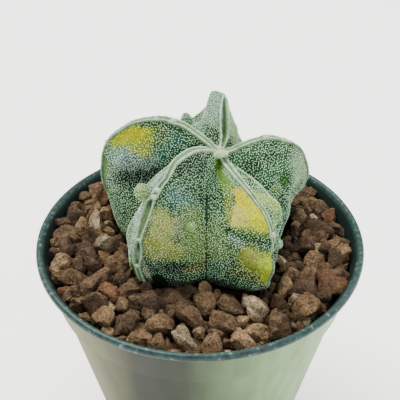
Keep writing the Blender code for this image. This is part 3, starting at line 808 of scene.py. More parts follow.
def nearest_line(points, lines):
    """The nearest line, the distance along it and the distance from it, for each point."""
    every = np.concatenate(lines)
    owner = np.concatenate([np.full(len(line), k) for k, line in enumerate(lines)])
    along = np.concatenate([np.arange(len(line)) * LINE_STEP for line in lines])
    nearest = np.empty(len(points), int)
    away = np.empty(len(points))
    for start in range(0, len(points), BATCH):
        batch = slice(start, start + BATCH)
        gaps = np.linalg.norm(points[batch, None] - every[None], axis=2)
        nearest[batch], away[batch] = gaps.argmin(axis=1), gaps.min(axis=1)
    return owner[nearest], along[nearest], away


def rib_places(points):
    """Rib, distance along its crest, and distance from it, below zero on the clockwise side."""
    rib, along, away = nearest_line(points, crests)
    turn = np.degrees(np.arctan2(points[:, 1] - STEM_AXIS.y, points[:, 0] - STEM_AXIS.x))
    side = (turn - np.array(RIB_TURNS)[rib] + 180.0) % 360.0 - 180.0
    return rib, along, away * np.where(side < 0.0, -1.0, 1.0)


# %% [markdown]
# ### Swellings, seams, pits and waves
#
# Smoothing wears the crests down, so they are raised again to a blunt edge. Swellings move a part
# of the skin as a whole. Dents press in (below zero) or raise the skin along its normal, and each
# furrow gets a narrow seam. Every row holds its centre, its movement and its radius in mm.

# %% Shape the skin
SWELLINGS = (
    ("tip of the back rib", (2.9, 16.6, 86.0), (-0.3, 0.3, 1.9), 2.0),
    ("notch beside the knob", (0.3, 16.2, 82.3), (0.2, 0.0, -2.4), 2.1),
    ("notch beside the knob, behind", (-0.7, 18.5, 82.0), (0.0, 0.0, -2.0), 2.4),
    ("top of the right rib", (15.5, 9.5, 79.8), (0.0, 0.0, 0.5), 3.5),
    ("shoulder of the right rib", (21.8, 10.2, 76.2), (0.4, 0.0, 0.5), 3.6),
    ("lower right of the back rib", (9.0, 13.4, 80.2), (1.2, 0.0, 0.4), 2.0),
    ("waist of the right rib", (22.8, 6.0, 66.6), (-2.2, 0.8, 0.0), 3.4),
    ("crest of the right rib, low", (22.6, 10.0, 60.8), (-2.3, 0.0, 0.0), 3.8),
    ("foot of the right rib", (21.1, 3.6, 59.2), (-1.7, 0.2, 0.0), 3.1),
    ("foot of the front left rib", (-14.2, -11.4, 60.5), (-0.9, -0.1, 0.0), 3.6),
    ("bulge of the front right rib", (12.0, -17.0, 65.8), (0.8, -1.8, 0.4), 2.7),
    ("side of the front right rib, top", (17.6, -13.2, 71.0), (-1.2, 0.3, 0.0), 2.2),
    ("side of the front right rib", (17.4, -13.0, 67.5), (-2.2, 0.5, 0.0), 3.6),
    ("side of the front right rib, low", (16.4, -13.4, 61.5), (-1.8, 0.5, 0.0), 3.0),
    ("crest of the front right rib, side", (17.4, -14.8, 66.8), (-1.6, 0.6, 0.0), 2.4),
    ("far side of the front right rib", (18.0, -8.4, 63.0), (-3.0, 0.5, 0.0), 3.2),
    ("swelling right of the gold", (15.6, -8.0, 75.0), (0.5, -0.2, 0.9), 2.2),
)
DENTS = (
    ("pit in the right rib, upper", (18.6, 3.0, 73.5), -1.5, 1.2),
    ("pit in the right rib, lower", (19.5, 3.3, 71.8), -1.6, 1.2),
    ("lip beside the pit", (17.4, 1.8, 71.8), 0.7, 0.8),
    ("lip below the pit", (18.4, 2.4, 70.0), 0.6, 0.8),
    ("ledge on the left rib", (-16.5, 5.4, 76.6), 1.2, 2.0),
    ("ledge on the left rib, inner", (-12.6, 4.3, 78.0), 1.0, 1.8),
    ("fold under the ledge", (-16.4, 4.2, 73.4), -1.5, 1.8),
    ("fold under the ledge, middle", (-12.5, 3.2, 74.8), -1.5, 1.9),
    ("fold under the ledge, inner", (-9.4, 2.5, 75.8), -0.7, 1.6),
    ("dimple on the left rib", (-14.0, 5.1, 78.5), -0.45, 0.7),
    ("fold above the bulge", (8.7, -14.5, 71.0), -0.9, 1.3),
    ("fold above the bulge, middle", (10.8, -15.5, 71.0), -0.9, 1.3),
    ("fold above the bulge, outer", (13.0, -16.2, 70.9), -0.7, 1.2),
    ("dip beside the gold", (5.9, -12.4, 71.1), -0.6, 1.0),
    ("crease beside the wart", (-5.1, -12.6, 69.9), -0.45, 0.8),
    ("crease left of the wart", (-3.1, -11.8, 71.2), -0.9, 0.6),
    ("dent low on the front left rib", (-9.0, -14.0, 60.2), -1.2, 2.2),
)
CREST_RISE, CREST_HALF_WIDTH = 0.45, 1.3
SEAM_DEPTH, SEAM_HALF_WIDTH = 0.6, 0.4
# A seam starts this far from the crown, and gets deeper over this length.
SEAM_START, SEAM_FADE = 3.0, 9.0
# Each set of waves: their height, their length in mm and their seed.
WAVES = {
    "skin": ((0.16, 4.0, 1), (0.07, 1.6, 2)),
    "edges of stains": ((0.30, 1.7, 3), (0.24, 0.7, 4)),
    "greens": ((0.7, 2.8, 5),),
    "knobs": ((0.22, 0.8, 6),),
    "seams": ((0.12, 1.1, 7),),
    "tufts": ((0.2, 0.5, 8), (0.12, 0.22, 9)),
    "shade": ((0.9, 2.2, 10),),
}
# The skin stays as it is deeper than this below the soil's height.
BURIED = 3.0


def seam_at(points):
    """How strong a furrow's seam is at each point, and how far away it lies, wavering."""
    _, along, away = nearest_line(points, furrows)
    return smooth_step((along - SEAM_START) / SEAM_FADE), away + waves_at(points, "seams")


def smooth_step(values):
    values = np.clip(values, 0.0, 1.0)
    return values * values * (3.0 - 2.0 * values)


def noise_at(points, size, seed):
    """Smooth noise from about -1 to 1, with waves of a given size in millimetres."""
    shift = Vector((seed * 7.3, seed * 3.1, seed * 5.7))
    return np.array([noise.noise(Vector(p) / size + shift) for p in points])


def waves_at(points, name):
    """The sum of one set of waves at each point."""
    return sum(height * noise_at(points, size, seed) for height, size, seed in WAVES[name])


def bell(distances, radius):
    """One in the middle, falling off softly with the distance."""
    return np.exp(-(distances / radius) ** 2)


def bell_at(points, centre, radius):
    return bell(np.linalg.norm(points - np.array(centre), axis=1), radius)


points = corners(skin) / MM
normals = np.array([vertex.normal[:] for vertex in skin.data.vertices])
shown = np.clip((points[:, 2] - SOIL_HEIGHT + BURIED) / BURIED, 0.0, 1.0)
seam, from_seam = seam_at(points)
_, _, from_crest = nearest_line(points, crests)
rise = waves_at(points, "skin")
rise -= SEAM_DEPTH * seam * bell(from_seam, SEAM_HALF_WIDTH)
rise += CREST_RISE * bell(from_crest, CREST_HALF_WIDTH)
for _, centre, depth, radius in DENTS:
    rise += depth * bell_at(points, centre, radius)
moved = points + normals * (rise * shown)[:, None]
for _, centre, movement, radius in SWELLINGS:
    moved += bell_at(points, centre, radius)[:, None] * np.array(movement)
move_corners(skin, moved * MM)
skin_tree = tree_of(skin)
crests, furrows = lines_on(skin_tree)

# %% Grow the knobs
# Each knob: its centre and its radius in mm. They sit half in the skin, and are lumpy.
KNOBS = (
    ("wart on the front", (-2.0, -11.6, 71.6), 0.95),
    ("knob beside the tuft", (-12.0, -8.3, 78.3), 1.65),
    ("bud on the front right rib", (16.2, -15.4, 70.1), 1.1),
)


def ball(centre, radius, subdivisions):
    """A ball at a place in mm, with its place in its mesh."""
    bpy.ops.mesh.primitive_ico_sphere_add(subdivisions=subdivisions, radius=radius * MM,
                                          location=Vector(centre) * MM)
    bpy.ops.object.transform_apply(location=True)
    return bpy.context.object


knobs = joined([ball(centre, radius, 5) for _, centre, radius in KNOBS], "skin_knobs")
places = corners(knobs) / MM
outwards = np.array([vertex.normal[:] for vertex in knobs.data.vertices])
move_corners(knobs, (places + outwards * waves_at(places, "knobs")[:, None]) * MM)
bpy.ops.object.shade_smooth()

# %% [markdown]
# ### Variegated skin
#
# In a variegated plant some cells have no chlorophyll. Golden and lime patches show where they
# reach the surface, and they often carry no flecks. Each patch is a stain on the skin, a rounded
# bar from one point to another with a wavy edge, and later stains lie over earlier ones. A strip
# follows a crest instead. Between them the skin is a soft mix of two greens. Some stains are
# painted light instead: painted shade in folds, dips, a dimple and hollows, and a painted
# highlight on the lit side of the bulge.

# %% Stain the skin
# The last colour is painted shade, for the seams and the foot of the stem.
DEEP_GREEN, MID_GREEN, SHADE_COLOUR = "#163a1e", "#3a6a44", "#0c1a0e"
MID_GREEN_SHARE = 0.22
# Painted shade darkens the foot of the stem below this height, over this depth.
SHADE_HEIGHT, SHADE_DEPTH = SOIL_HEIGHT + 3.2, 3.0
# The painted shade reaches the first share over its depth, and the second one more close to the
# soil.
SHADE_SHARES = (0.6, 0.35)
# How dark the painted shade in a seam gets, and its half width.
SEAM_SHADE_SHARE, SEAM_SHADE_HALF_WIDTH = 0.65, 0.28
# How soft a strip's edges are, and its ends at the most, in mm.
STRIP_EDGE, STRIP_END = 0.45, 3.0
# Each stain: its two end points and its half width in mm, how soft its edge is, its tint, and
# how bare it is of flecks.
STAINS = (
    ("teal, left rib", (-11.0, 3.8, 78.2), (-5.5, 4.6, 82.4), 2.2, 1.0, "#2c5a4a", 0.0),
    ("blue, left rib", (-18.5, 7.6, 77.4), (-13.3, 4.4, 78.0), 3.2, 0.8, "#46665c", 0.0),
    ("lavender, left ledge", (-17.2, 4.8, 75.2), (-10.9, 3.6, 77.9), 1.6, 1.0, "#587068", 0.0),
    # The dimple's dark tint is painted shade, as is the shade under the ledge.
    ("dimple, left rib", (-14.2, 5.0, 78.3), (-13.6, 5.2, 78.9), 0.8, 0.7, "#1b3d45", 0.6),
    ("shade under the ledge", (-16.9, 4.0, 72.7), (-9.3, 2.2, 75.1), 2.0, 0.8, "#10281a", 0.2),
    ("olive, left rib", (-12.5, 7.4, 83.6), (-9.2, 6.0, 83.2), 2.2, 0.9, "#3a5420", 0.0),
    ("straw, left rib", (-14.2, 6.4, 80.8), (-12.4, 5.4, 80.2), 2.2, 1.0, "#707a24", 0.2),
    ("gold, left rib", (-19.4, 10.0, 79.8), (-12.6, 7.2, 82.9), 2.1, 1.1, "#7f8e0c", 0.75),
    ("gold heart, left rib", (-17.2, 8.8, 81.0), (-13.6, 7.8, 82.6), 1.4, 0.9, "#989a0a", 0.9),
    # Painted shade on the steep top of the front face, below the crests.
    ("dark, front left top", (-4.2, -4.2, 83.1), (0.0, -2.0, 81.6), 2.4, 0.8, "#12301a", 0.0),
    ("blue, front left", (-5.2, -9.2, 78.1), (-2.2, -8.8, 75.4), 1.8, 1.0, "#42685a", 0.0),
    ("green, mid front", (-2.4, -9.6, 72.0), (-1.0, -11.8, 65.0), 3.0, 1.2, "#5f7a3c", 0.0),
    ("straw, front left", (-8.6, -11.8, 74.2), (-6.2, -12.0, 71.8), 1.9, 1.5, "#929b4c", 0.0),
    ("straw, front left, left", (-9.6, -13.0, 70.8), (-10.2, -13.6, 66.8), 1.5, 1.5, "#929b4c",
     0.0),
    ("straw, front left, low", (-8.2, -13.2, 68.8), (-5.2, -13.2, 66.2), 1.7, 1.5, "#929b4c", 0.0),
    ("pink, front left", (-4.9, -11.6, 73.0), (-4.4, -12.2, 70.6), 0.9, 1.5, "#74785a", 0.0),
    ("bare olive, front left", (-10.8, -13.6, 69.0), (-9.2, -13.4, 68.6), 0.9, 1.1, "#84903e",
     0.9),
    ("olive, low front left", (-10.4, -13.9, 65.8), (-5.0, -13.6, 65.6), 1.3, 1.5, "#748038", 0.1),
    # Painted shade low on the front left rib, and in the hollow under its foot.
    ("dark, low front left", (-10.4, -14.0, 61.8), (-3.0, -13.4, 61.6), 1.6, 0.8, "#0f2415", 0.1),
    ("hollow, foot of the front left", (-10.9, -13.2, 57.7), (-9.0, -13.2, 57.3), 2.3, 0.8,
     "#0a180c", 1.0),
    ("brown, low front", (-2.4, -13.2, 61.0), (0.2, -12.6, 61.4), 1.2, 0.9, "#4e5220", 0.1),
    ("wart", (-2.0, -11.4, 71.6), (-2.0, -12.2, 71.6), 1.1, 0.5, "#7fa062", 0.9),
    ("knob beside the tuft", (-12.4, -8.4, 78.6), (-12.0, -8.6, 77.8), 2.0, 0.5, "#6b8850", 0.0),
    ("lime, right of the seam", (2.8, -12.0, 65.8), (4.6, -13.0, 66.4), 2.4, 1.0, "#56763c", 0.0),
    ("moss green, right of the seam", (2.2, -10.4, 71.0), (4.8, -12.4, 68.4), 2.4, 1.5,
     "#4c6a32", 0.0),
    ("leaf green, top", (4.0, 2.6, 78.2), (6.2, -4.4, 77.0), 1.5, 0.7, "#587c30", 0.9),
    ("yellow green edge", (6.2, -5.0, 76.8), (6.2, -12.0, 72.6), 1.1, 1.0, "#5f7426", 0.05),
    ("gold, front right", (8.2, -6.6, 77.6), (9.2, -10.0, 76.2), 1.2, 0.5, "#b4aa00", 1.0),
    ("gold, front right, middle", (9.4, -9.8, 76.6), (12.0, -13.6, 75.2), 1.8, 0.5, "#b6b700",
     1.0),
    ("gold, front right, low", (11.6, -13.6, 74.8), (13.3, -14.8, 74.1), 1.4, 0.4, "#b9c20c", 1.0),
    ("beige, front right", (7.6, -10.8, 75.2), (8.8, -13.0, 73.8), 1.4, 1.2, "#b7b755", 1.0),
    ("beige, front right, low", (7.4, -12.2, 73.4), (8.2, -13.6, 72.9), 1.1, 0.6, "#bebe5c", 1.0),
    ("olive, front right, foot", (8.8, -13.8, 73.2), (12.6, -15.4, 73.2), 0.9, 0.8, "#a5ae35",
     0.6),
    # Painted shade in the dip beside the gold.
    ("dark dip beside the gold", (5.8, -12.2, 71.3), (6.2, -12.8, 70.9), 0.8, 0.7, "#12301a", 0.6),
    ("blue bloom, front right", (6.4, -13.4, 70.2), (8.2, -14.8, 69.6), 0.9, 1.2, "#586e62", 0.0),
    ("olive, above the fold", (7.8, -14.0, 72.3), (13.0, -15.8, 72.3), 1.0, 1.0, "#56702e", 0.1),
    # Painted shade in the fold above the bulge.
    ("dark fold above the bulge", (8.6, -14.6, 71.2), (13.4, -16.2, 71.2), 0.8, 0.7, "#25441f",
     0.0),
    # The skin under the bulge is olive, darkened with painted shade.
    ("olive, under the bulge", (8.4, -15.8, 62.8), (12.4, -17.4, 62.6), 2.0, 1.1, "#434e1e", 0.2),
    ("lime, bulge", (10.5, -16.4, 66.6), (14.2, -17.3, 66.2), 2.6, 1.0, "#8a9c3a", 0.97),
    ("beige, bulge", (10.2, -16.4, 67.8), (12.0, -17.1, 67.0), 1.4, 1.2, "#989e48", 1.0),
    # The bulge's lime is brighter on its right side: a painted highlight where the light falls.
    ("bright, bulge", (14.2, -17.5, 66.8), (15.0, -17.4, 61.8), 2.0, 1.2, "#aabe2e", 1.0),
    ("lime, right swelling", (12.6, -8.6, 76.8), (16.0, -9.4, 75.0), 2.1, 0.9, "#7f9448", 0.05),
    ("green, right swelling", (16.4, -9.0, 73.6), (16.8, -11.4, 73.4), 1.1, 0.8, "#4d7a30", 0.0),
    ("lime, under the swelling", (16.4, -12.8, 73.0), (16.6, -14.0, 71.6), 1.2, 0.8, "#9cb03c",
     0.3),
    ("lime beside the pit", (16.8, 1.4, 72.2), (17.6, 1.8, 71.2), 0.8, 1.0, "#5c7a3c", 0.0),
    ("green pit", (18.5, 4.0, 73.4), (19.3, 4.3, 71.8), 1.0, 0.9, "#3a682c", 0.7),
    ("bud", (16.4, -15.4, 70.1), (17.0, -15.8, 69.8), 1.2, 0.4, "#7c9a7c", 1.0),
    ("pale, right rib", (22.4, 7.6, 74.6), (22.6, 6.0, 66.0), 2.4, 1.0, "#6f916c", 0.0),
    ("olive, far right", (23.6, 11.4, 75.6), (24.6, 10.4, 71.6), 2.3, 1.2, "#6f8060", 0.1),
    ("yellow green, far right", (24.2, 8.6, 70.4), (23.6, 7.4, 68.6), 1.0, 1.0, "#6f8a4c", 0.2),
    ("pale, back rib", (-1.8, 15.0, 82.0), (4.4, 14.6, 84.6), 4.4, 0.9, "#769682", 0.0),
    ("pale, back rib right", (7.4, 13.0, 81.6), (9.0, 13.2, 78.6), 3.0, 0.9, "#86a07a", 0.3),
    ("green knob", (-3.0, 16.0, 81.6), (-3.0, 16.4, 81.4), 2.4, 0.6, "#5a7c5e", 0.0),
    ("lime, behind left, low", (-10.0, 21.0, 68.0), (-6.0, 23.0, 67.0), 3.4, 1.4, "#6c7a30", 0.1),
    ("straw, behind left", (-15.0, 17.0, 74.6), (-9.6, 20.0, 74.4), 3.6, 1.3, "#7f8a2a", 0.2),
    ("gold, behind left", (-14.0, 17.0, 76.4), (-11.4, 19.4, 75.0), 2.0, 1.1, "#a3aa00", 0.8),
    ("lime, behind right, low", (19.0, 14.0, 66.0), (15.0, 19.0, 64.0), 2.8, 1.4, "#6f7c30", 0.1),
    ("straw, behind right", (14.0, 18.6, 75.4), (18.4, 15.0, 71.6), 2.7, 1.3, "#838e2c", 0.2),
    ("gold, behind right", (15.4, 17.6, 75.6), (17.6, 15.4, 73.4), 1.5, 1.1, "#acae00", 0.8),
    ("leaf green, back", (0.0, 26.0, 74.0), (2.0, 26.0, 70.0), 2.2, 1.4, "#4c7440", 0.3),
)
# Each strip: its rib, its start and end along the crest, the offsets of its edges from the
# crest (below zero on the clockwise side), its tint and how bare it is.
STRIPS = (
    ("outer strip, left rib", 0, 32.0, 49.0, 0.0, 4.0, "#466e2a", 1.0),
    ("dark edge, left rib", 0, 8.0, 22.0, 0.4, 1.9, "#223c1c", 0.3),
    ("pale bend, front left rib", 1, 17.5, 24.0, -1.4, 0.6, "#8fae9c", 0.9),
    ("lavender, front left rib", 1, 27.0, 41.0, -4.0, -0.9, "#84928f", 0.0),
    ("green foot, front left rib", 1, 40.0, 52.0, -3.2, -0.6, "#5f8a2c", 0.9),
    ("pale foot, front left rib", 1, 39.0, 52.0, 0.9, 2.4, "#93a084", 0.2),
    ("blue edge, front right rib", 2, 3.0, 14.0, -1.9, -0.8, "#56765c", 0.2),
    ("green strip, back rib", 4, 3.0, 31.0, -2.0, -0.5, "#2c4c20", 1.0),
    ("olive end, back rib", 4, 1.5, 5.0, -2.0, -0.5, "#566c26", 1.0),
    ("first lens, front left rib", 1, 25.4, 35.4, -0.9, 0.9, "#5f7a4c", 1.0),
    ("second lens, front left rib", 1, 36.0, 41.0, -0.9, 0.9, "#7d9c78", 1.0),
)


def shade_at(points):
    """How far painted shade darkens the skin near the soil, with a wavy edge."""
    height = points[:, 2] - waves_at(points, "shade")
    shade = smooth_step((SHADE_HEIGHT - height) / SHADE_DEPTH)
    return SHADE_SHARES[0] * shade + SHADE_SHARES[1] * shade ** 4


def stained(points):
    """The skin's colour and bareness at each point."""
    share = np.clip(MID_GREEN_SHARE + waves_at(points, "greens"), 0.0, 1.0)[:, None]
    colours = linear(DEEP_GREEN) * (1.0 - share) + linear(MID_GREEN) * share
    bare = np.zeros(len(points))
    wave = waves_at(points, "edges of stains")
    rib, along, off = rib_places(points)

    def lay(weight, code, bareness):
        weight = smooth_step(weight)
        colours[:] += (linear(code) - colours) * weight[:, None]
        bare[:] += (bareness - bare) * weight

    for _, start, end, half_width, soft, code, bareness in STAINS:
        bar = np.array(end) - np.array(start)
        share = np.clip((points - np.array(start)) @ bar / (bar @ bar), 0.0, 1.0)
        away = np.linalg.norm(points - np.array(start) - share[:, None] * bar, axis=1)
        lay((1.0 + 0.5 * soft - away / half_width - wave) / soft, code, bareness)
    for _, owner, start, end, near, far, code, bareness in STRIPS:
        inside = np.minimum(off - near, far - off) / STRIP_EDGE + wave
        ends = np.minimum(along - start, end - along) / min(STRIP_END, 0.35 * (end - start)) + wave
        lay(np.where(rib == owner, np.minimum(inside, ends), 0.0), code, bareness)
    return colours, bare


for piece in (skin, knobs):
    points = corners(piece) / MM
    colours, bare = stained(points)
    # The seams and the foot of the stem are darkened with painted shade.
    seam, from_seam = seam_at(points)
    painted_shade = np.maximum(SEAM_SHADE_SHARE * seam * bell(from_seam, SEAM_SHADE_HALF_WIDTH), shade_at(points))
    colours += (linear(SHADE_COLOUR) - colours) * painted_shade[:, None]
    paint(piece, "stain", colours)
    print(piece.name, "is bare over a share of", round(float(bare.mean()), 2))

# %% Finish the skin
# A cactus skin is waxy: a low, broad sheen over green flesh that lets a little light in.
wax, tree, shader = new_finish("waxy_cactus_skin", {
    "Roughness": 0.6, "IOR": 1.45, "Specular IOR Level": 0.15, "Subsurface Weight": 0.05,
    "Subsurface Radius": (0.6 * MM, 0.9 * MM, 0.3 * MM), "Subsurface Scale": 1.0})
place = add_node(tree, "TexCoord", out="Object")
stain = add_node(tree, "Attribute", attribute_name="stain")
# Cells and dust vary the tint every 0.4 mm.
speckle = add_node(tree, "TexNoise", {
    "Vector": place, "Scale": 2500.0, "Detail": 3.0, "Roughness": 0.6})
shade = add_node(tree, "ValToRGB", {"Fac": speckle}, stops=((0.34, "#b0b0b0"), (0.60, "#ffffff")))
add_node(tree, "Mix", {"Factor": 1.0, "A": stain, "B": shade}, to=shader["Base Color"],
         data_type="RGBA", blend_type="MULTIPLY")
add_node(tree, "Bump", {"Height": speckle, "Strength": 0.2, "Distance": 0.12 * MM},
         to=shader["Normal"])
for piece in (skin, knobs):
    set_down(piece, "stem", wax)

# %% [markdown]
# ## The felted crests
#
# Along each crest run two felted lines with a groove between them. They part round bare,
# lens-shaped strips, and between the lenses sit woolly tufts, the areoles. A flat grid is bent
# over each crest: its columns lie at fixed distances from the crest, measured over the skin, and
# its rows follow the crest. Its edges sink into the skin.

# %% Lay out the felt
FELT_STEP = 0.25
FELT_LINE, FELT_EDGE = 0.44, 0.78
LINE_HALF_WIDTH, LINE_HEIGHT, PAD_HEIGHT = 0.19, 0.6, 0.25
# Below the crown the felt narrows from one place along the crest, over a length.
NARROW_START, NARROW_LENGTH = 8.0, 12.0
# At the growing point it has a share of its width, and gains a share in each mm.
START_WIDTH, WIDTH_GAIN = 0.4, 0.2
# A tuft widens the felt on so much of its length, by a share of its radius.
TUFT_LENGTH, TUFT_WIDENING = 0.8, 0.3
# Rays fan out to the skin from below a crest: so many to each side, by steps in degrees.
FAN_SIDE, FAN_STEP, FAN_DEPTH = 16, 5.0, 3.0
# A crest's direction is taken over so many of its points to each side.
NEIGHBOURS = 4
WOOL_WHITE, WOOL_GREEN, WOOL_PINK, WOOL_CREAM = "#b0cea8", "#486842", "#bfae9e", "#b8cc9a"
# Each rib: its tufts as (place along the crest, radius, tint), and its bare strips as
# (start, end, half width, where it is widest as a share of its length), in mm.
FELT_MARKS = (
    (((12.4, 0.75, WOOL_WHITE), (16.2, 0.4, WOOL_WHITE), (31.0, 0.6, WOOL_WHITE)),
     ((31.6, 45.0, 0.9, 0.5),)),
    (((22.5, 0.7, WOOL_WHITE), (24.1, 0.75, WOOL_WHITE), (34.6, 0.4, WOOL_WHITE),
      (41.2, 0.55, WOOL_WHITE)),
     ((25.2, 34.4, 0.42, 0.3), (35.2, 40.9, 0.5, 0.5))),
    (((25.2, 0.7, WOOL_PINK),), ((27.0, 32.0, 0.15, 0.5),)),
    (((11.5, 0.8, WOOL_WHITE), (16.3, 0.6, WOOL_PINK)), ((17.2, 31.0, 0.6, 0.5),)),
    (((15.5, 0.45, WOOL_WHITE),), ((2.4, 14.8, 0.62, 0.5), (17.0, 31.0, 0.6, 0.5))),
)
# The width of each rib's felt near the growing point and at the foot, as a share.
FELT_WIDTHS = ((1.25, 0.8), (1.4, 0.95), (1.3, 0.6), (1.3, 0.85), (1.2, 1.1))
# The felt wanders off the ridge of two ribs: (place along the crest, shift) in mm, where a shift
# below zero is clockwise.
FELT_SHIFTS = {
    1: ((15.5, 0.0), (17.5, 0.6), (19.5, 1.2), (22.5, 1.0), (24.1, 0.8), (25.6, 0.2), (27.0, 0.0)),
    4: ((0.0, 0.0), (4.0, -1.2)),
}


def opening_at(rib, along):
    """Half the width of the bare strip between the two felted lines."""
    for start, end, half_width, widest in FELT_MARKS[rib][1]:
        if start < along < end:
            share = ((along - start) / (end - start)) ** (math.log(0.5) / math.log(widest))
            return half_width * math.sin(math.pi * share) ** 0.8
    return 0.0


def shift_at(rib, along):
    places, shifts = zip(*FELT_SHIFTS.get(rib, ((0.0, 0.0),)))
    return float(np.interp(along, places, shifts))


def width_at(rib, along):
    """The felt's width as a share: narrower down the rib, a little wider at a tuft."""
    top, foot = FELT_WIDTHS[rib]
    width = top + (foot - top) * share_of(along, NARROW_START, NARROW_LENGTH)
    near_tuft = sum(size * math.exp(-((along - place) / TUFT_LENGTH) ** 2)
                    for place, size, _ in FELT_MARKS[rib][0])
    return (width + TUFT_WIDENING * near_tuft) * min(1.0, START_WIDTH + WIDTH_GAIN * along)


def crest_frame(rib, along):
    """The crest's point, its direction, its outward normal and its side, at a distance."""
    line = crests[rib]
    k = min(int(along / LINE_STEP), len(line) - 2)
    share = along / LINE_STEP - k
    point = Vector(line[k] + (line[k + 1] - line[k]) * share)
    first, last = max(k - NEIGHBOURS, 0), min(k + 1 + NEIGHBOURS, len(line) - 1)
    forward = Vector(line[last] - line[first]).normalized()
    turn = math.radians(RIB_TURNS[rib])
    side = Vector((-math.sin(turn), math.cos(turn), 0.0))
    return point, forward, forward.cross(side).normalized(), side


def over_skin(rib, along, offsets):
    """The skin's points and normals at distances measured over the skin from the crest."""
    point, forward, normal, side = crest_frame(rib, along)
    start = point - normal * FAN_DEPTH
    fan = []
    for k in range(-FAN_SIDE, FAN_SIDE + 1):
        spread = math.radians(FAN_STEP * k)
        ray = normal * math.cos(spread) + side * math.sin(spread)
        hit = skin_tree.ray_cast(start * MM, ray)[0]
        fan.append((hit / MM if hit else start + ray * FAN_DEPTH)[:])
    fan = np.array(fan)
    lengths = lengths_along(fan)
    lengths -= lengths[FAN_SIDE]
    normals = between(offsets, lengths, np.cross(np.array(forward), np.gradient(fan, axis=0)))
    return between(offsets, lengths, fan), one_long(normals)


# %% Bend the felt over the crests
FELT_COLUMNS = (-0.95, -0.76, -0.64, -0.53, -0.42, -0.31, -0.2, 0.0,
                0.2, 0.31, 0.42, 0.53, 0.64, 0.76, 0.95)
# Its edges fall off from here, over this width, and sink this deep into the skin.
EDGE_START, EDGE_WIDTH, EDGE_SINK = FELT_EDGE - 0.12, 0.2, 0.25
# In a bare strip the middle column sinks as well, most where the strip is this wide.
MIDDLE_WIDTH, MIDDLE_SINK, FULL_OPENING = 0.15, 1.2, 0.3
# The felt's clumps and its tint's clumps: their height or strength, and their size in mm. Then
# the height of its finest unevenness, and the tint's mean and largest factor.
CLUMPS, TINT_CLUMPS = (0.13, 0.4), (0.5, 0.8)
UNEVENNESS, TINT_MEAN, TINT_MOST = 0.02, 1.05, 1.25


def felt_height(offset, opening):
    """How far the felt stands above the skin, and how white it is."""
    line = math.exp(-((abs(offset) - FELT_LINE) / LINE_HALF_WIDTH) ** 2)
    edge = 1.0 - smooth_step((abs(offset) - EDGE_START) / EDGE_WIDTH)
    height = PAD_HEIGHT + (LINE_HEIGHT - PAD_HEIGHT) * line
    if abs(offset) < MIDDLE_WIDTH:
        height -= MIDDLE_SINK * min(1.0, opening / FULL_OPENING)
    return height * edge - EDGE_SINK * (1.0 - edge), line


def felt_strip(rib):
    """A grid bent over a rib's crest, with its tint."""
    rows = int(len(crests[rib]) * LINE_STEP / FELT_STEP)
    columns = len(FELT_COLUMNS)
    bpy.ops.mesh.primitive_grid_add(x_subdivisions=columns - 1, y_subdivisions=rows - 1)
    strip = bpy.context.object
    draw = np.random.default_rng(rib)
    places, tints = np.empty((rows, columns, 3)), np.empty((rows, columns, 3))
    groove, pale = linear(WOOL_GREEN), linear(WOOL_WHITE)
    for step in range(rows):
        along = step * FELT_STEP
        opening, width = opening_at(rib, along), width_at(rib, along)
        offsets = np.array([math.copysign(abs(c) * width + (opening if c else 0.0), c)
                            for c in FELT_COLUMNS])
        skin_points, normals = over_skin(rib, along, offsets + shift_at(rib, along))
        for column, offset in enumerate(FELT_COLUMNS):
            height, white = felt_height(offset, opening)
            point = Vector(skin_points[column])
            lump = CLUMPS[0] * noise.noise(point / CLUMPS[1]) + draw.normal() * UNEVENNESS
            places[step, column] = skin_points[column] + normals[column] * (height + lump)
            clump = TINT_MEAN + TINT_CLUMPS[0] * noise.noise(point / TINT_CLUMPS[1])
            tints[step, column] = (groove + (pale - groove) * white) * min(TINT_MOST, clump)
    move_corners(strip, places.reshape(-1, 3) * MM)
    paint(strip, "tint", tints.reshape(-1, 3))
    return strip


strips = [felt_strip(rib) for rib in range(len(RIB_TURNS))]
print("rows of the felt strips:", [len(strip.data.vertices) // len(FELT_COLUMNS)
                                  for strip in strips])

# %% [markdown]
# ### The tufts and the crown
#
# A woolly tuft sits on each areole, and new wool grows at the growing point, where the five lines
# meet. Each tuft is a ball that is pressed flat and then raised in small clumps.

# %% Model the tufts and the crown
# The crown's tufts: centre and radius in mm, and tint.
CROWN_TUFTS = (
    ((4.1, 5.8, 79.7), 1.05, WOOL_PINK), ((2.9, 2.9, 80.3), 1.15, WOOL_CREAM),
    ((4.2, 2.9, 80.3), 1.2, WOOL_CREAM), ((5.3, 3.6, 80.0), 1.0, WOOL_CREAM),
)
# How flat a tuft is pressed, and how far the middle of one on a crest lies over the skin.
TUFT_FLATNESS, TUFT_RISE = (1.0, 1.0, 0.75), 0.25


def woolly_tuft(centre, radius, code):
    tuft = ball(centre, radius, 3)
    places = corners(tuft) / MM
    outwards = (places - np.array(centre)) / radius
    reach = radius + waves_at(places, "tufts")[:, None]
    move_corners(tuft, (np.array(centre) + outwards * reach * TUFT_FLATNESS) * MM)
    paint(tuft, "tint", np.tile(linear(code), (len(places), 1)))
    return tuft


tufts = [woolly_tuft(*tuft) for tuft in CROWN_TUFTS]
for rib, (marks, _) in enumerate(FELT_MARKS):
    for along, radius, code in marks:
        places, normals = over_skin(rib, along, np.array([shift_at(rib, along)]))
        tufts.append(woolly_tuft(places[0] + normals[0] * TUFT_RISE, radius, code))
felt = joined(strips + tufts, "crest_wool")
apply_modifier(felt, "SUBSURF", levels=1, render_levels=1)
bpy.ops.object.shade_smooth()
print("tufts:", len(tufts))

# %% Finish the felt
# Wool scatters light from countless fibres: no gloss, a pale sheen at the edge, a fluffy bump.
wool, tree, shader = new_finish("felted_plant_wool", {
    "Roughness": 0.95, "IOR": 1.45, "Specular IOR Level": 0.15, "Sheen Weight": 0.15,
    "Sheen Roughness": 0.6})
place = add_node(tree, "TexCoord", out="Object")
tint = add_node(tree, "Attribute", attribute_name="tint")
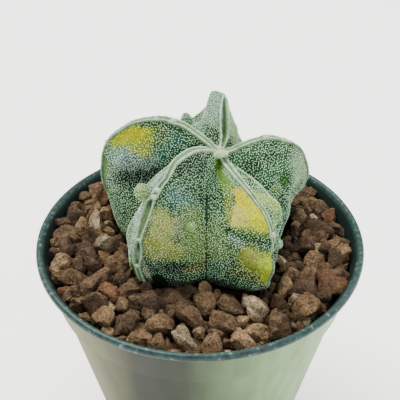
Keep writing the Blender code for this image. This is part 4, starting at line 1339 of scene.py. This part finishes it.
# Fibres lie in clumps of 0.3 mm, with painted shade between them.
fluff = add_node(tree, "TexNoise", {
    "Vector": place, "Scale": 3200.0, "Detail": 4.0, "Roughness": 0.7})
shade = add_node(tree, "ValToRGB", {"Fac": fluff}, stops=((0.32, "#a3ad9b"), (0.56, "#ffffff")))
add_node(tree, "Mix", {"Factor": 1.0, "A": tint, "B": shade}, to=shader["Base Color"],
         data_type="RGBA", blend_type="MULTIPLY")
add_node(tree, "Bump", {"Height": fluff, "Strength": 0.6, "Distance": 0.15 * MM},
         to=shader["Normal"])
set_down(felt, "crest_felt", wool)

# %% [markdown]
# ## The flecks
#
# Each fleck is a tiny tuft of flattened hairs, like a bent grain of rice half a millimetre long.
# They lie less than half a millimetre apart, each turned its own way, and keep off the bare
# patches, the seams and the felt. Darts are thrown at the skin by area, and a dart too near
# another is dropped.

# %% Model the flecks
# How many models there are, and a fleck's thickness and bend as shares of its length.
FLECK_MODELS, FLECK_THICKNESS, FLECK_BEND = 10, 0.64, 0.24
STRAND_SEED = 700


def bent_strand(number, thickness, bend):
    """A three-sided strand one unit long with pointed ends, bent to one side and back."""
    draw = random.Random(STRAND_SEED + number)
    bpy.ops.mesh.primitive_uv_sphere_add(segments=3, ring_count=4, radius=0.5,
                                         rotation=(0.0, math.radians(90.0), 0.0))
    strand = bpy.context.object
    bpy.ops.object.transform_apply(rotation=True)
    bpy.ops.object.mode_set(mode="EDIT")
    bpy.ops.mesh.select_all(action="SELECT")
    bpy.ops.transform.resize(value=(1.0, thickness, thickness))
    bpy.ops.object.mode_set(mode="OBJECT")
    places = corners(strand)
    places[:, 1] += bend * draw.uniform(-1.0, 1.0) * np.sin(math.tau * places[:, 0])
    places[:, 1] += bend * draw.uniform(-1.5, 1.5) * (0.25 - places[:, 0] ** 2)
    move_corners(strand, places)
    return taken_apart(strand)


fleck_models = [bent_strand(number, FLECK_THICKNESS, FLECK_BEND)
                for number in range(FLECK_MODELS)]
print("faces of a fleck:", len(fleck_models[0][1]))

# %% Throw the flecks
FLECK_SPACING, SPACING_SHARES = 0.42, (0.9, 1.15)
FLECK_DARTS, KNOB_DARTS = 150000, 3750
# A dart counts when it falls further than this from a seam, at the most, and down to so far
# below the soil. Skin as bare as 1 / 1.1 carries no flecks.
SEAM_CLEAR, BELOW_SOIL, BARE_GAIN = 0.25, 1.0, 1.1
FLECK_SEED = 21


def darts_on(piece, count, draw):
    """Points spread over a piece by area, with the normals of its faces."""
    places, sides = corners(piece) / MM, triangles_of(piece)
    a, b, c = (places[sides[:, k]] for k in range(3))
    across = np.cross(b - a, c - a)
    areas = np.linalg.norm(across, axis=1)
    areas[a[:, 2] < SOIL_HEIGHT - BELOW_SOIL] = 0.0
    chosen = draw.choice(len(sides), count, p=areas / areas.sum())
    u, v = draw.random((2, count, 1))
    u, v = np.where(u + v > 1.0, 1.0 - u, u), np.where(u + v > 1.0, 1.0 - v, v)
    a, b, c = a[chosen], b[chosen], c[chosen]
    return a + (b - a) * u + (c - a) * v, one_long(across[chosen])


def spaced_out(points, gaps):
    """The numbers of the points that keep their gap from every point taken before."""
    cell, kept, grid = float(gaps.max()), [], {}
    for k, (point, gap) in enumerate(zip(points, gaps)):
        x, y, z = (int(c // cell) for c in point)
        near = (other for i in (-1, 0, 1) for j in (-1, 0, 1) for m in (-1, 0, 1)
                for other in grid.get((x + i, y + j, z + m), ()))
        if all((point[0] - o[0]) ** 2 + (point[1] - o[1]) ** 2 + (point[2] - o[2]) ** 2
               > gap * gap for o in near):
            grid.setdefault((x, y, z), []).append(point)
            kept.append(k)
    return np.array(kept)


draw = np.random.default_rng(FLECK_SEED)
thrown = [darts_on(skin, FLECK_DARTS, draw), darts_on(knobs, KNOB_DARTS, draw)]
points, normals = (np.concatenate(part) for part in zip(*thrown))
colours, bare = stained(points)
rib, along, off = rib_places(points)
off -= np.array([shift_at(r, s) for r, s in zip(rib, along)])
felted = np.array([FELT_EDGE * width_at(r, s) + opening_at(r, s) for r, s in zip(rib, along)])
seam, from_seam = seam_at(points)
wanted = (np.abs(off) > felted) & (from_seam > SEAM_CLEAR * seam)
wanted &= draw.random(len(points)) > bare * BARE_GAIN
wanted = np.flatnonzero(wanted)
gaps = FLECK_SPACING * draw.uniform(*SPACING_SHARES, len(wanted))
kept = wanted[spaced_out(points[wanted].tolist(), gaps)]
points, normals, colours, bare = points[kept], normals[kept], colours[kept], bare[kept]
print("flecks:", len(points))

# %% Join the flecks in two pieces
# The second colour is the flecks' painted shade near the soil.
FLECK_WHITE, FLECK_SHADE = "#dcf4d2", "#2a3424"
FLECK_LENGTH, LENGTH_SHARES, WIDTH_SHARES = 0.43, (0.65, 1.3), (0.75, 1.05)
FLECK_RISE, FLECK_BRIGHTNESS = 0.03, (0.75, 1.15)
# How far a fleck takes on the skin's colour: on the darkest skin, more on bare skin, at the most.
SKIN_SHARE, BARE_SHARE, MOST_SHARE = 0.15, 0.5, 0.85
# The brightness of a fleck with the skin's colour, and how far painted shade dims it on the
# darkest skin.
SKIN_BRIGHTNESS, DARKEST, GAIN, DIMMEST = 0.9, 0.42, 10.0, 0.5


def strand_matrices(along, across, up, places):
    """A 3 by 4 matrix in metres for each strand, from its three sides and its middle in mm."""
    return np.stack([along, across, up, places], axis=2) * MM


lengths = FLECK_LENGTH * draw.uniform(*LENGTH_SHARES, (len(points), 1))
widths = FLECK_LENGTH * draw.uniform(*WIDTH_SHARES, (len(points), 1))
# Each fleck lies on the skin, turned at random.
along = one_long(np.cross(normals, draw.normal(size=points.shape)))
matrices = strand_matrices(along * lengths, np.cross(normals, along) * widths, normals * widths,
                           points + normals * FLECK_RISE)
tints = linear(FLECK_WHITE) * draw.uniform(*FLECK_BRIGHTNESS, (len(points), 1))
# A fleck lets some of the skin's own colour through, most of all on the pale patches.
brightness = colours.max(axis=1)[:, None]
share = np.clip(SKIN_SHARE + brightness + BARE_SHARE * bare[:, None], 0.0, MOST_SHARE)
tints += (colours / brightness * SKIN_BRIGHTNESS - tints) * share
# In the dark folds the flecks are dimmed as well, as painted shade.
tints *= np.clip(DARKEST + brightness * GAIN, DIMMEST, 1.0)
# The flecks near the soil get the same painted shade.
tints += (linear(FLECK_SHADE) - tints) * shade_at(points)[:, None]
choice = draw.integers(0, FLECK_MODELS, len(points))
front = points[:, 1] < STEM_AXIS.y
for name, mine in (("front_flecks", front), ("back_flecks", ~front)):
    flecks = joined_copies(name, fleck_models, choice[mine], matrices[mine],
                           np.clip(tints[mine], 0.0, 1.0))
    set_down(flecks, "stem", wool)

# %% [markdown]
# ## The loose hairs
#
# The felt is a mat of fine hairs, and some stand off it. They are thin bent strands, thrown over
# the felt by area, each leaning its own way.

# %% Throw the hairs
HAIR_COUNT, HAIR_MODELS, FIRST_HAIR = 3600, 8, 40
HAIR_LENGTH, HAIR_SHARES, HAIR_THICKNESS, HAIR_BEND = 0.75, (0.5, 1.3), 0.05, 0.25
# How far a hair stands up and how far it leans, and where its middle is as a share of its length.
HAIR_UPRIGHT, HAIR_LEAN, HAIR_MIDDLE = 0.8, 0.9, 0.35
HAIR_BRIGHTNESS = (0.8, 1.1)

points, normals = darts_on(felt, HAIR_COUNT, draw)
lean = draw.normal(size=points.shape)
along = one_long(normals * HAIR_UPRIGHT + one_long(lean) * HAIR_LEAN)
across = one_long(np.cross(along, lean))
lengths = HAIR_LENGTH * draw.uniform(*HAIR_SHARES, (len(points), 1))
matrices = strand_matrices(along * lengths, across * HAIR_LENGTH,
                           np.cross(along, across) * HAIR_LENGTH,
                           points + along * lengths * HAIR_MIDDLE)
hair_models = [bent_strand(FIRST_HAIR + number, HAIR_THICKNESS, HAIR_BEND)
               for number in range(HAIR_MODELS)]
tints = linear(WOOL_WHITE) * draw.uniform(*HAIR_BRIGHTNESS, (len(points), 1))
hairs = joined_copies("loose_hairs", hair_models, draw.integers(0, HAIR_MODELS, len(points)),
                      matrices, np.clip(tints, 0.0, 1.0))
set_down(hairs, "crest_felt", wool)
